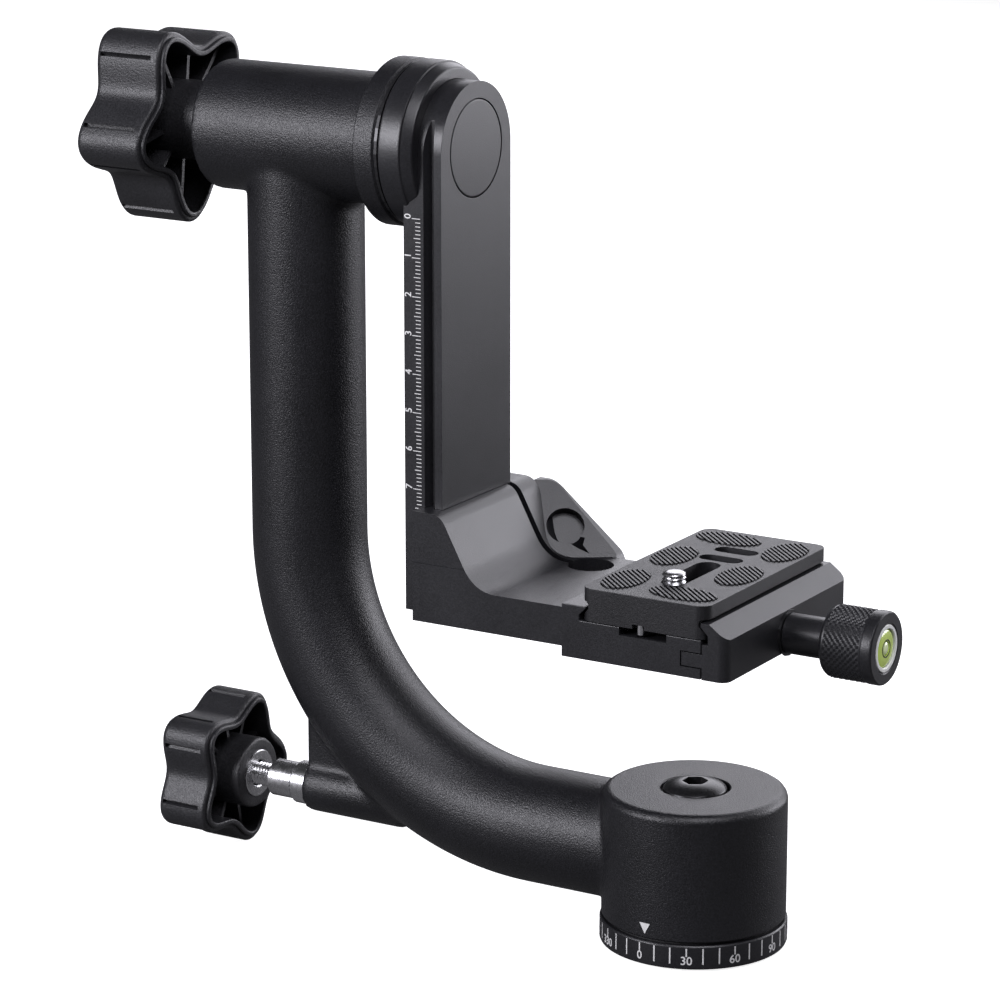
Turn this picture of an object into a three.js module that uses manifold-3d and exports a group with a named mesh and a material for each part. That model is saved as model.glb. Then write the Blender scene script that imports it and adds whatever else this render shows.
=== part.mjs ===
// Gimbal tripod head: a swing arm on a turning base, a tilting rail with a scale,
// an L bracket on the rail, a quick-release clamp and a camera plate.
// All lengths are in millimetres. +Z is up, X runs along the tilt axis,
// and the origin is where the turning axis meets the underside of the base.
import * as THREE from "three";
import { mergeVertices } from "three/addons/utils/BufferGeometryUtils.js";
import Module from "manifold-3d";

const wasm = await Module();
wasm.setup();

// Clearances
const runningGap = 0.3;
const fitGap = 0.15;
const pass = 1.0;
const glideLift = 0.2;
const washerLift = 0.1;
const thrustWasherThickness = 1.0;
const housingInset = 8.0;
const weldTolerance = 0.0001;

// Facet counts round a full circle
const fineRound = 40;
const tubeRound = 28;
const midRound = 20;
const smallRound = 16;
const pinRound = 12;
const hexSides = 6;
const cornerSteps = 5;
const slotSteps = 6;
const padPoints = 20;
const grooveLip = 1.7;
const knobBevelSteps = 2;

// Base
const dialRadius = 24.1;
const dialHeight = 6.3;
const dialChamfer = 0.8;
const insertRadius = 7.6;
const insertHeight = 9.6;
const socketRadius = 4.0;
const socketDepth = 8.6;
const spindleRadius = 11.7;
const spindleFootRadius = 15.0;
const spindleFootBottom = 4.6;
const spindleTop = 33.4;
const spindleHubRadius = 7.75;
const glideInner = 16.2;
const glideOuter = 22.6;

// Housing of the swing arm, round the turning axis
const housingRadius = 23.7;
const housingBottom = 7.0;
const housingTop = 40.4;
const housingEdge = 1.4;
const edgeShares = [0.3, 0.3];
const housingWebBottom = 33.8;
const boltRecessRadius = 8.9;
const boltRecessDepth = 1.7;
const footPocketRadius = 15.6;
const footPocketTop = 8.6;

// Pan bolt
const panBoltRadius = 4.0;
const panBoltBottom = 18.0;
const panBoltHeadRadius = 8.2;
const panBoltHeadHeight = 2.9;
const panBoltRim = 0.9;
const panWasherThickness = 0.5;
const hexCorner = 2.9;
const hexDepth = 2.2;
const domeShares = [0.78, 0.42];
const domeRiseShares = [0.72, 0.95];

// Swing arm tube
const armTubeRadius = 15.3;
const armRunHeight = 22.3;
const armUprightX = -116.5;
const armBendRadius = 70.5;
const bendSteps = 15;

// Tilt axis and top tube
const tiltHeight = 198.8;
const topTubeRadius = 17.0;
const topTubeEnd = -141.0;
const topTubeEdge = 1.0;
const collarRadius = 21.6;
const collarStart = -88.2;
const collarEnd = -82.1;
const collarFillet = 2.0;
const axleRadius = 6.0;
const tubeBoreRadius = 7.2;
const bushRadius = 9.0;
const bushLength = 10.0;

// Lock boss and web on the bend of the arm
const lockHeight = 21.0;
const bossRadius = 7.0;
const bossStart = -116.0;
const bossEnd = -86.0;
const webHalf = 3.5;
const webTop = 43.0;
const webInner = -95.0;
const webFoot = -80.0;

// Lock sleeve, rod and pan lock knob
const sleeveRadius = 5.0;
const sleeveStart = -128.3;
const sleeveCollarStart = -120.6;
const sleeveCollarRadius = 5.8;
const sleeveInsertEnd = -106.0;
const sleeveInsertRadius = 4.6;
const rodInset = 0.8;
const rodRadius = 3.2;
const rodEnd = -16.0;
const brakeRadius = 3.2;
const brakeEnd = -12.0;
const panKnobRim = -138.3;
const panKnobBack = -154.6;
const panKnobCrest = 21.5;
const panKnobValley = 16.3;
const panKnobTurn = 65.7;
const panHubRadius = 9.6;
const panHubEnd = -134.4;
const panInsertRadius = 6.4;
const insertStand = 0.5;

// Tilt lock knob
const tiltKnobRim = -149.8;
const tiltKnobBack = -171.0;
const tiltKnobCrest = 27.0;
const tiltKnobValley = 19.4;
const tiltKnobTurn = 47.5;
const tiltHubRadius = 10.5;
const tiltHubEnd = -142.4;
const tiltNutRadius = 8.4;
const thrustWasherRadius = 12.5;
const knobLobes = 5;
const knobWall = 2.6;
const knobFloor = 3.2;
const knobEdge = 2.4;
const knobRimEdge = 1.2;
const knobRibHalf = 0.9;
const knobRibDrop = 2.5;
const knobPoints = 50;
const ribShare = 0.5;

// Tilt flange
const flangeBack = -81.0;
const flangeRimEnd = -74.4;
const flangeRadius = 21.5;
const flangeFront = -71.5;
const flangeFrontRadius = 19.9;
const frictionWasherRadius = 21.0;

// Rail
const railHalf = 17.0;
const railBack = -75.9;
const railGrooveBack = -69.95;
const railGrooveFront = -66.9;
const railFront = -64.75;
const railGrooveDepth = 2.4;
const railGrooveFlat = 0.5;
const railBottom = 80.4;
const railCapRadius = 12.5;
const railCapThickness = 1.8;
const axleHeadRadius = 10.0;
const axleHeadStart = -72.2;
const axleHeadEnd = -66.75;
const axleEnd = -164.0;

// L bracket
const bracketNear = -21.7;
const bracketFar = 25.2;
const bracketBack = -70.9;
const bracketTop = 108.2;
const bracketTopFront = -62.5;
const bracketBottom = 79.3;
const platformTop = 89.5;
const bracketEnd = -20.5;
const slopeMidX = -55.1;
const slopeMidZ = 94.4;
const slopeLowX = -51.0;
const slopeLowZ = 90.5;
const slopeFootX = -47.7;
const slitNear = 14.7;
const slitFar = 17.0;
const reliefX = -39.8;
const reliefY = 15.7;
const reliefRadius = 6.1;
const lugInner = 22.6;
const lugOuter = 29.5;
const lugStart = -60.0;
const lugTop = 107.0;
const lugKneeX = -57.2;
const lugKneeZ = 105.9;
const lugToeX = -39.2;
const lugToeZ = 91.4;
const lugFootX = -37.0;
const lugFootZ = 87.6;
const lugCorner = 1.0;
const lugPocketX = -51.0;
const lugPocketZ = 97.1;
const lugPocketRadius = 4.7;
const lugPocketFloor = 25.4;
const tongueHalf = 14.0;
const tongueEnd = -7.5;
const tongueTop = 84.3;

// Height lock screw across the slit
const heightScrewX = -54.5;
const heightScrewZ = 86.2;
const heightScrewRadius = 2.5;
const heightScrewHead = 4.2;
const heightHeadStart = 25.0;
const heightHeadEnd = 29.2;
const heightScrewTip = 4.0;

// Quick-release clamp, a little shorter than its plate at each end
const plateHalfY = 33.0;
const plateOverhang = 0.1;
const clampHalf = plateHalfY - plateOverhang;
const clampBack = -20.5;
const clampEnd = 18.5;
const clampBottom = 80.5;
const clampFloor = 90.4;
const lipWallX = -15.5;
const lipLow = 91.8;
const lipTipX = -13.6;
const lipTipZ = 93.7;
const lipTop = 94.2;
const clampChannelHalf = 6.6;
const clampChannelBottom = 88.4;
const plateCentreX = 2.4;
const clampScrewZ = 85.2;
const clampScrewRadius = 2.5;
const clampScrewEnd = -4.0;
const tongueSlotStart = 12.8;
const tongueSlotLow = 83.2;
const tongueSlotHigh = 87.2;
const guideY = 20.0;
const guideRadius = 2.0;
const guideStart = 2.0;
const guideEnd = 24.0;
const mountScrewX = -14.0;
const mountScrewY = 8.5;
const mountScrewRadius = 1.6;
const mountScrewHead = 3.1;
const mountScrewHeadHeight = 1.8;
const mountScrewTop = 87.6;
const mountHexDepth = 1.2;
const smallHexShare = 0.5;

// Clamp jaw
const jawStart = 18.8;
const jawEnd = 25.6;
const jawTop = 94.8;
const jawChamferX = 20.7;
const jawChamferZ = 91.2;
const jawCorner = 2.5;
const jawWallX = 20.4;
const jawLow = 91.8;
const jawTipX = 18.4;
const jawTipZ = 93.8;
const jawTongueStart = 13.2;
const jawTongueLow = 83.5;
const jawTongueHigh = 86.9;

// Clamp knob and level
const neckRadius = 5.15;
const neckWasherRadius = 5.9;
const neckWasherEnd = 26.2;
const neckEnd = 40.0;
const knobBackX = 37.7;
const knobRadius = 9.3;
const knurlStart = 38.9;
const knurlEnd = 49.4;
const knobFaceX = 52.6;
const faceChamfer = 0.6;
const knurlTeeth = 24;
const knurlDepth = 0.35;
const levelRadius = 6.0;
const levelDepth = 4.2;
const levelWall = 1.1;
const levelSink = 0.3;
const bubbleRadius = 1.7;
const bubbleDepth = 0.8;

// Camera plate
const plateHalfX = 17.6;
const plateBottom = 90.5;
const plateTop = 99.0;
const plateFlangeTop = 91.5;
const plateGrooveLow = 93.7;
const plateGrooveHigh = 94.9;
const plateSlabBottom = 95.4;
const plateGrooveDepth = 2.2;
const plateCorner = 3.2;
const slotHalf = 3.3;
const slotStartY = plateHalfY * -0.5121;
const slotEndY = plateHalfY * 0.0182;
const crossSlotHalf = 2.5;
const crossSlotReach = 3.5;
const crossSlotShares = [0.2364, 0.4909];
const crossSlotY = crossSlotShares.map((share) => share * plateHalfY);
const wellHalf = 6.6;
const wellTop = 95.4;

// Rubber pads: centre as shares of the plate's half width and half length, and the turn
// of the long axis in degrees, one row for each pad
const padShares = [
  [-0.645, -0.636, 94],
  [-0.645, 0.124, 94],
  [-0.4, 0.768, -5],
  [0.4, -0.768, -5],
  [0.645, -0.124, 94],
  [0.645, 0.636, 94],
];
const padRows = padShares.map(([across, along, turn]) => (
  { x: across * plateHalfX, y: along * plateHalfY, turn }));
const padHalfLength = plateHalfY * 0.2818;
const padHalfWidth = plateHalfY * 0.1585;
const padDepth = 0.6;
const padRise = 0.35;

// Camera screw and its washer, stop screws
const cameraScrewY = plateHalfY * -0.5121;
const cameraThreadRadius = 3.0;
const cameraThreadTop = 101.8;
const cameraThreadChamfer = 0.6;
const cameraHeadRadius = 6.0;
const cameraHeadBottom = 91.2;
const cameraHeadTop = 94.9;
const cameraSlotHalf = 0.8;
const cameraSlotDepth = 1.2;
const cameraWasherRadius = 5.6;
const stopInset = 1.6;
const stopY = plateHalfY - stopInset;
const stopX = 1.2;
const stopRadius = 1.0;
const stopBottom = 88.8;
const stopTop = 93.2;
const notchHalf = 1.7;
const notchTop = 91.7;

// Materials
const paint = (color, roughness, metalness) =>
  new THREE.MeshStandardMaterial({ color, roughness, metalness });
const powderCoat = () => paint(0x17181a, 0.62, 0.1);
const anodised = () => paint(0x1d1e21, 0.42, 0.5);
const moulded = () => paint(0x141517, 0.68, 0.0);
const nickel = () => paint(0xc9cacb, 0.22, 1.0);
const steel = () => paint(0x8d8f92, 0.35, 1.0);
const blackSteel = () => paint(0x1b1c1e, 0.4, 0.8);
const bronze = () => paint(0x8a6a3a, 0.45, 0.9);
const nylon = () => paint(0x2a2b2d, 0.55, 0.0);
const rubber = () => paint(0x202123, 0.85, 0.0);

// Turning any geometry into a closed solid, and back into a mesh
function solid(geometry) {
  const plain = geometry.index ? geometry : mergeVertices(geometry);
  plain.deleteAttribute("normal");
  plain.deleteAttribute("uv");
  const merged = mergeVertices(plain, weldTolerance);
  const positions = Float32Array.from(merged.attributes.position.array);
  const faces = Uint32Array.from(merged.index.array);
  const a = new THREE.Vector3();
  const b = new THREE.Vector3();
  const c = new THREE.Vector3();
  let sixVolumes = 0;
  for (let i = 0; i < faces.length; i += 3) {
    a.fromArray(positions, faces[i] * 3);
    b.fromArray(positions, faces[i + 1] * 3);
    c.fromArray(positions, faces[i + 2] * 3);
    sixVolumes += a.dot(b.cross(c));
  }
  if (sixVolumes < 0) {
    for (let i = 0; i < faces.length; i += 3) {
      [faces[i], faces[i + 1]] = [faces[i + 1], faces[i]];
    }
  }
  return new wasm.Manifold(new wasm.Mesh({
    numProp: 3, vertProperties: positions, triVerts: faces,
  }));
}

// The scene: one group for each moving assembly
const group = new THREE.Group();
let assembly = group;
function startAssembly(parent = group) {
  assembly = new THREE.Group();
  parent.add(assembly);
  return assembly;
}
function add(name, body, material, place = [0, 0, 0]) {
  const raw = body.getMesh();
  const geometry = new THREE.BufferGeometry();
  const points = new Float32Array(raw.vertProperties);
  geometry.setAttribute("position", new THREE.BufferAttribute(points, 3));
  geometry.setIndex(new THREE.BufferAttribute(new Uint32Array(raw.triVerts), 1));
  geometry.computeVertexNormals();
  const mesh = new THREE.Mesh(geometry, material);
  mesh.name = name;
  mesh.position.set(...place);
  assembly.add(mesh);
  return mesh;
}

// A turned piece: rows of [radius, position along the axis]
function turned(rows, segments) {
  return new THREE.LatheGeometry(rows.map(([r, h]) => new THREE.Vector2(r, h)), segments);
}
const alongZ = (rows, segments, x = 0, y = 0) =>
  solid(turned(rows, segments).rotateX(Math.PI / 2).translate(x, y, 0));
const alongX = (rows, segments, z, y = 0) =>
  solid(turned(rows, segments).rotateZ(-Math.PI / 2).translate(0, y, z));
const alongY = (rows, segments, x, z) =>
  solid(turned(rows, segments).translate(x, 0, z));
const rod = (radius, start, end) => [[0, start], [radius, start], [radius, end], [0, end]];
const ring = (inner, outer, start, end) =>
  [[inner, start], [outer, start], [outer, end], [inner, end], [inner, start]];

// A flat outline pushed along one axis
function outline(points) {
  return new THREE.Shape(points.map(([x, y]) => new THREE.Vector2(x, y)));
}
const push = (shape, depth) =>
  new THREE.ExtrudeGeometry(shape, { depth, bevelEnabled: false, curveSegments: pinRound });
const pushedZ = (points, low, high) =>
  solid(push(outline(points), high - low).translate(0, 0, low));
// points are [x, z], the outline is pushed from y = near to y = far
const pushedY = (points, near, far) =>
  solid(push(outline(points), far - near).rotateX(Math.PI / 2).translate(0, far, 0));
// points are [y, z], the outline is pushed from x = start to x = end
const pushedX = (points, start, end) =>
  solid(push(outline(points), end - start).rotateY(Math.PI / 2).rotateX(Math.PI / 2)
    .translate(start, 0, 0));
const box = (x0, x1, y0, y1, z0, z1) =>
  solid(new THREE.BoxGeometry(x1 - x0, y1 - y0, z1 - z0)
    .translate((x0 + x1) / 2, (y0 + y1) / 2, (z0 + z1) / 2));

// Points on an arc, angles in degrees
function arc(cx, cy, radius, from, to, steps) {
  const points = [];
  for (let i = 0; i <= steps; i += 1) {
    const angle = THREE.MathUtils.degToRad(from + ((to - from) * i) / steps);
    points.push([cx + radius * Math.cos(angle), cy + radius * Math.sin(angle)]);
  }
  return points;
}
const unite = (...bodies) => bodies.reduce((sum, body) => sum.add(body));
const cut = (body, ...tools) => tools.reduce((rest, tool) => rest.subtract(tool), body);

// Base: dial disc, thread insert, spindle and glide ring
startAssembly();
const dialRows = [
  [insertRadius, 0], [dialRadius - dialChamfer, 0],
  [dialRadius, dialChamfer], [dialRadius, dialHeight - dialChamfer],
  [dialRadius - dialChamfer, dialHeight], [spindleFootRadius + fitGap, dialHeight],
  [spindleFootRadius + fitGap, spindleFootBottom], [insertRadius, spindleFootBottom],
  [insertRadius, 0],
];
add("dial_base", alongZ(dialRows, fineRound), anodised());
const insertBody = alongZ([
  [0, 0], [insertRadius - fitGap, 0], [insertRadius - fitGap, spindleFootBottom],
  [spindleHubRadius - runningGap, spindleFootBottom],
  [spindleHubRadius - runningGap, insertHeight], [0, insertHeight],
], midRound);
const socket = alongZ(rod(socketRadius, -pass, socketDepth), midRound);
add("tripod_thread_insert", cut(insertBody, socket), steel());
const spindleRows = [
  [0, insertHeight + runningGap], [spindleHubRadius, insertHeight + runningGap],
  [spindleHubRadius, spindleFootBottom], [spindleFootRadius, spindleFootBottom],
  [spindleFootRadius, housingBottom], [spindleRadius, housingBottom],
  [spindleRadius, spindleTop], [0, spindleTop],
];
const panBoltHole = alongZ(rod(panBoltRadius + fitGap, panBoltBottom - runningGap,
  spindleTop + pass), smallRound);
add("pan_spindle", cut(alongZ(spindleRows, fineRound), panBoltHole), steel());
add("pan_glide_ring", alongZ(ring(glideInner, glideOuter, dialHeight, housingBottom
  - glideLift), fineRound), nylon());

// Pan bolt with its dome head and washer
const recessFloor = housingTop - boltRecessDepth;
const headBottom = recessFloor + panWasherThickness;
const domeRows = [[0, panBoltBottom], [panBoltRadius, panBoltBottom],
  [panBoltRadius, headBottom], [panBoltHeadRadius, headBottom],
  [panBoltHeadRadius, headBottom + panBoltRim],
  [panBoltHeadRadius * domeShares[0], headBottom + panBoltHeadHeight * domeRiseShares[0]],
  [panBoltHeadRadius * domeShares[1], headBottom + panBoltHeadHeight * domeRiseShares[1]],
  [0, headBottom + panBoltHeadHeight]];
const headTop = headBottom + panBoltHeadHeight;
const hexSocket = alongZ(rod(hexCorner, headTop - hexDepth, headTop + pass), hexSides);
add("pan_bolt", cut(alongZ(domeRows, midRound), hexSocket), blackSteel());
add("pan_bolt_washer", alongZ(ring(panBoltRadius + runningGap, panBoltHeadRadius,
  recessFloor, headBottom - washerLift), midRound), steel());

const arm = startAssembly();

// Swing arm: bent tube, housing, top tube, collar, lock boss and web
const armSteps = bendSteps + 2;
class ArmPath extends THREE.Curve {
  getUtoTmapping(share) {
    return share;
  }

  getPoint(share) {
    const step = share * armSteps;
    const bendTop = armRunHeight + armBendRadius;
    if (step < 1) {
      return new THREE.Vector3(armUprightX, 0, tiltHeight + (bendTop - tiltHeight) * step);
    }
    if (step < 1 + bendSteps) {
      const angle = (Math.PI * (step - 1)) / (2 * bendSteps);
      const x = armUprightX + armBendRadius * (1 - Math.cos(angle));
      const z = armRunHeight + armBendRadius * (1 - Math.sin(angle));
      return new THREE.Vector3(x, 0, z);
    }
    const bendEnd = armUprightX + armBendRadius;
    const x = bendEnd + (-housingInset - bendEnd) * (step - 1 - bendSteps);
    return new THREE.Vector3(x, 0, armRunHeight);
  }
}
const tubeShape = outline(arc(0, 0, armTubeRadius, 0, 360 - 360 / tubeRound, tubeRound - 1));
const bentTube = solid(new THREE.ExtrudeGeometry(tubeShape, {
  steps: armSteps, extrudePath: new ArmPath(), bevelEnabled: false,
}));
const housing = alongZ([
  [0, housingBottom], [housingRadius, housingBottom],
  [housingRadius, housingTop - housingEdge],
  [housingRadius - housingEdge * edgeShares[0], housingTop - housingEdge * edgeShares[1]],
  [housingRadius - housingEdge, housingTop], [0, housingTop],
], fineRound);
const topTube = alongX([
  [0, topTubeEnd], [topTubeRadius - topTubeEdge, topTubeEnd],
  [topTubeRadius, topTubeEnd + topTubeEdge],
  [topTubeRadius, collarStart - collarFillet], [topTubeRadius + collarFillet, collarStart],
  [collarRadius, collarStart], [collarRadius, collarEnd], [0, collarEnd],
], fineRound, tiltHeight);
const boss = alongX(rod(bossRadius, bossStart, bossEnd), midRound, lockHeight);
const web = pushedY([[bossStart, lockHeight], [webFoot, lockHeight], [webInner, webTop],
  [bossStart, webTop]], -webHalf, webHalf);
const housingCavity = alongZ([
  [0, housingBottom - pass], [footPocketRadius, housingBottom - pass],
  [footPocketRadius, footPocketTop], [spindleRadius + runningGap, footPocketTop],
  [spindleRadius + runningGap, housingWebBottom], [0, housingWebBottom],
], fineRound);
const boltPassage = alongZ([
  [0, housingWebBottom - pass], [panBoltRadius + runningGap, housingWebBottom - pass],
  [panBoltRadius + runningGap, recessFloor], [boltRecessRadius, recessFloor],
  [boltRecessRadius, housingTop + pass], [0, housingTop + pass],
], midRound);
const axlePassage = alongX([
  [0, topTubeEnd - pass], [bushRadius, topTubeEnd - pass],
  [bushRadius, topTubeEnd + bushLength], [tubeBoreRadius, topTubeEnd + bushLength],
  [tubeBoreRadius, collarEnd - bushLength], [bushRadius, collarEnd - bushLength],
  [bushRadius, collarEnd + pass], [0, collarEnd + pass],
], midRound, tiltHeight);
const rodPassage = alongX([
  [0, bossStart - pass], [sleeveInsertRadius + fitGap, bossStart - pass],
  [sleeveInsertRadius + fitGap, sleeveInsertEnd], [rodRadius + runningGap, sleeveInsertEnd],
  [rodRadius + runningGap, -spindleRadius + runningGap], [0, -spindleRadius + runningGap],
], smallRound, lockHeight);
const armBody = cut(unite(bentTube, housing, topTube, boss, web),
  housingCavity, boltPassage, axlePassage, rodPassage);
add("swing_arm", armBody, powderCoat());

// Bushes and washers of the tilt axle
const bushRing = (start, end) => alongX(ring(axleRadius + runningGap, bushRadius - fitGap,
  start, end), midRound, tiltHeight);
add("tilt_bush_front", bushRing(collarEnd - bushLength, collarEnd), bronze());
add("tilt_bush_rear", bushRing(topTubeEnd, topTubeEnd + bushLength), bronze());
add("tilt_friction_washer", alongX(ring(bushRadius + runningGap, frictionWasherRadius,
  collarEnd, flangeBack - runningGap), fineRound, tiltHeight), steel());

// Lock sleeve screwed into the boss
add("lock_sleeve", alongX([
  [rodRadius + runningGap, sleeveStart], [sleeveRadius, sleeveStart],
  [sleeveRadius, sleeveCollarStart], [sleeveCollarRadius, sleeveCollarStart],
  [sleeveCollarRadius, bossStart], [sleeveInsertRadius, bossStart],
  [sleeveInsertRadius, sleeveInsertEnd], [rodRadius + runningGap, sleeveInsertEnd],
  [rodRadius + runningGap, sleeveStart],
], midRound, lockHeight), nickel());

// Star knobs: lobed shell, floor, hub and ribs, open towards the arm
function starPoints(crest, valley, turn, inset) {
  const points = [];
  for (let i = 0; i < knobPoints; i += 1) {
    const angle = (2 * Math.PI * i) / knobPoints;
    const lobe = Math.cos(knobLobes * (angle - THREE.MathUtils.degToRad(turn)));
    const radius = (crest + valley) / 2 + ((crest - valley) / 2) * lobe - inset;
    points.push([radius * Math.cos(angle), radius * Math.sin(angle)]);
  }
  return points;
}
function starShell(crest, valley, turn, back, rim) {
  const shape = outline(starPoints(crest, valley, turn, 0));
  const depth = rim - back - 2 * knobEdge;
  const geometry = new THREE.ExtrudeGeometry(shape, {
    depth, bevelEnabled: true, bevelThickness: knobEdge, bevelSize: knobEdge,
    bevelOffset: -knobEdge, bevelSegments: knobBevelSteps,
  });
  return solid(geometry.rotateY(Math.PI / 2).rotateX(Math.PI / 2)
    .translate(back + knobEdge, 0, 0));
}
function starKnob(look) {
  const { crest, valley, turn, back, rim, hubRadius, hubEnd, insertHole, insertStart } = look;
  const shell = starShell(crest, valley, turn, back, rim + knobEdge);
  const rimCut = pushedX([[-crest, -crest], [crest, -crest], [crest, crest], [-crest, crest]],
    rim, rim + knobEdge + pass);
  const hollow = pushedX(starPoints(crest, valley, turn, knobWall), back + knobFloor,
    rim + pass);
  const inside = pushedX(starPoints(crest, valley, turn, knobWall - fitGap),
    back + knobFloor - fitGap, rim - knobRibDrop);
  const ribStart = back + knobFloor - fitGap;
  const ribs = [];
  for (let i = 0; i < knobLobes; i += 1) {
    const angle = THREE.MathUtils.degToRad(turn + (360 * (i + ribShare)) / knobLobes);
    const plate = new THREE.BoxGeometry(rim - knobRibDrop - ribStart, crest, 2 * knobRibHalf);
    plate.translate((rim - knobRibDrop + ribStart) / 2, crest / 2, 0).rotateX(angle);
    ribs.push(solid(plate).intersect(inside));
  }
  const hub = alongX(rod(hubRadius, back + knobFloor - fitGap, hubEnd), midRound, 0);
  const bore = alongX(rod(insertHole, insertStart, hubEnd + pass), midRound, 0);
  const body = unite(cut(shell, rimCut, hollow), ...ribs, hub);
  return cut(body, bore);
}

// Pan lock: the brake tip slides, and the rod turns with the smaller star knob
const panLock = startAssembly(arm);
panLock.position.z = lockHeight;
add("pan_brake_tip", alongX(rod(brakeRadius, rodEnd, brakeEnd), smallRound, 0), bronze());
startAssembly(panLock);
add("pan_lock_rod", alongX(rod(rodRadius, panKnobBack + knobFloor + rodInset, rodEnd),
  smallRound, 0), nickel());
add("pan_lock_knob", starKnob({
  crest: panKnobCrest, valley: panKnobValley, turn: panKnobTurn, back: panKnobBack,
  rim: panKnobRim, hubRadius: panHubRadius, hubEnd: panHubEnd,
  insertHole: panInsertRadius + fitGap, insertStart: panKnobBack + knobFloor,
}), moulded());
add("pan_knob_insert", alongX(ring(rodRadius + runningGap, panInsertRadius,
  panKnobBack + knobFloor, panHubEnd + insertStand), midRound, 0), nickel());

// Tilt lock on the outer end of the tilt axle: thrust washer, knob and its nut
const tiltLock = startAssembly(arm);
tiltLock.position.z = tiltHeight;
add("tilt_thrust_washer", alongX(ring(bushRadius + runningGap, thrustWasherRadius,
  topTubeEnd - thrustWasherThickness, topTubeEnd), midRound, 0), steel());
startAssembly(tiltLock);
add("tilt_lock_knob", starKnob({
  crest: tiltKnobCrest, valley: tiltKnobValley, turn: tiltKnobTurn, back: tiltKnobBack,
  rim: tiltKnobRim, hubRadius: tiltHubRadius, hubEnd: tiltHubEnd,
  insertHole: tiltNutRadius + fitGap, insertStart: tiltKnobBack + knobFloor,
}), moulded());
add("tilt_knob_nut", alongX(ring(axleRadius + runningGap, tiltNutRadius,
  tiltKnobBack + knobFloor, tiltHubEnd), midRound, 0), steel());

// Tilting part: flange, rail, axle and cap, all on the tilt axis
const tilt = startAssembly(arm);
const railOutline = (half, top) => [[-half, top], [half, top],
  ...arc(0, tiltHeight, half, 0, 180, midRound)];
const railProfile = railOutline(railHalf, railBottom);
const flangeBody = alongX([
  [0, flangeBack], [flangeRadius, flangeBack], [flangeRadius, flangeRimEnd],
  [flangeFrontRadius, flangeFront], [0, flangeFront],
], fineRound, tiltHeight);
const flangePocket = pushedX(railOutline(railHalf + fitGap, tiltHeight - collarRadius - pass),
  railBack, flangeFront + pass);
const axleBore = (radius) => alongX(rod(radius, flangeBack - pass, railFront + pass),
  midRound, tiltHeight);
add("tilt_flange", cut(flangeBody, flangePocket, axleBore(axleRadius + fitGap)), anodised());
const railPlate = pushedX(railProfile, railBack, railFront);
const grooveMiddle = (railGrooveBack + railGrooveFront) / 2;
const railGroove = (side) => pushedZ([
  [railGrooveBack, side * (railHalf + pass)], [railGrooveBack, side * railHalf],
  [grooveMiddle - railGrooveFlat, side * (railHalf - railGrooveDepth)],
  [grooveMiddle + railGrooveFlat, side * (railHalf - railGrooveDepth)],
  [railGrooveFront, side * railHalf], [railGrooveFront, side * (railHalf + pass)],
], railBottom - pass, tiltHeight + railHalf + pass);
const capSeat = railFront - railCapThickness;
const railBore = alongX([
  [0, railBack - pass], [axleRadius + fitGap, railBack - pass],
  [axleRadius + fitGap, axleHeadStart], [axleHeadRadius + fitGap, axleHeadStart],
  [axleHeadRadius + fitGap, capSeat], [railCapRadius + fitGap, capSeat],
  [railCapRadius + fitGap, railFront + pass], [0, railFront + pass],
], midRound, tiltHeight);
add("tilt_rail", cut(railPlate, railGroove(1), railGroove(-1), railBore), anodised());
add("tilt_axle", alongX([
  [0, axleEnd], [axleRadius, axleEnd], [axleRadius, axleHeadStart],
  [axleHeadRadius, axleHeadStart], [axleHeadRadius, axleHeadEnd], [0, axleHeadEnd],
], midRound, tiltHeight), steel());
add("rail_cap", alongX(rod(railCapRadius, capSeat, railFront), midRound, tiltHeight),
  anodised());

// L bracket that rides on the rail: wall, slope, platform, split clamp arm and lug
const platform = startAssembly(tilt);
const slopeProfile = [[bracketBack, bracketBottom], [bracketEnd, bracketBottom],
  [bracketEnd, platformTop], [slopeFootX, platformTop], [slopeLowX, slopeLowZ],
  [slopeMidX, slopeMidZ], [bracketTopFront, bracketTop], [bracketBack, bracketTop]];
const lugProfile = [[lugStart, bracketBottom], [lugFootX, bracketBottom],
  [lugFootX, lugFootZ], [lugToeX, lugToeZ], [lugKneeX, lugKneeZ],
  [lugStart + lugCorner, lugTop], [lugStart, lugTop]];
const channel = pushedZ([
  [bracketBack - pass, -railHalf - runningGap],
  [railGrooveBack + runningGap, -railHalf - runningGap],
  [grooveMiddle - railGrooveFlat, -railHalf + railGrooveDepth - runningGap],
  [grooveMiddle + railGrooveFlat, -railHalf + railGrooveDepth - runningGap],
  [railGrooveFront - runningGap, -railHalf - runningGap],
  [railFront + runningGap, -railHalf - runningGap],
  [railFront + runningGap, railHalf + runningGap],
  [railGrooveFront - runningGap, railHalf + runningGap],
  [grooveMiddle + railGrooveFlat, railHalf - railGrooveDepth + runningGap],
  [grooveMiddle - railGrooveFlat, railHalf - railGrooveDepth + runningGap],
  [railGrooveBack + runningGap, railHalf + runningGap],
  [bracketBack - pass, railHalf + runningGap],
], bracketBottom - pass, bracketTop + pass);
const slit = box(railFront, reliefX, slitNear, slitFar, bracketBottom - pass,
  bracketTop + pass);
const relief = alongZ(rod(reliefRadius, bracketBottom - pass, bracketTop + pass), midRound,
  reliefX, reliefY);
const lugPocket = alongY(rod(lugPocketRadius, lugInner - pass, lugPocketFloor), midRound,
  lugPocketX, lugPocketZ);
const heightBore = alongY([
  [0, heightScrewTip - runningGap], [heightScrewRadius + runningGap, heightScrewTip
    - runningGap],
  [heightScrewRadius + runningGap, heightHeadStart],
  [heightScrewHead + runningGap, heightHeadStart],
  [heightScrewHead + runningGap, lugOuter + pass], [0, lugOuter + pass],
], midRound, heightScrewX, heightScrewZ);
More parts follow.
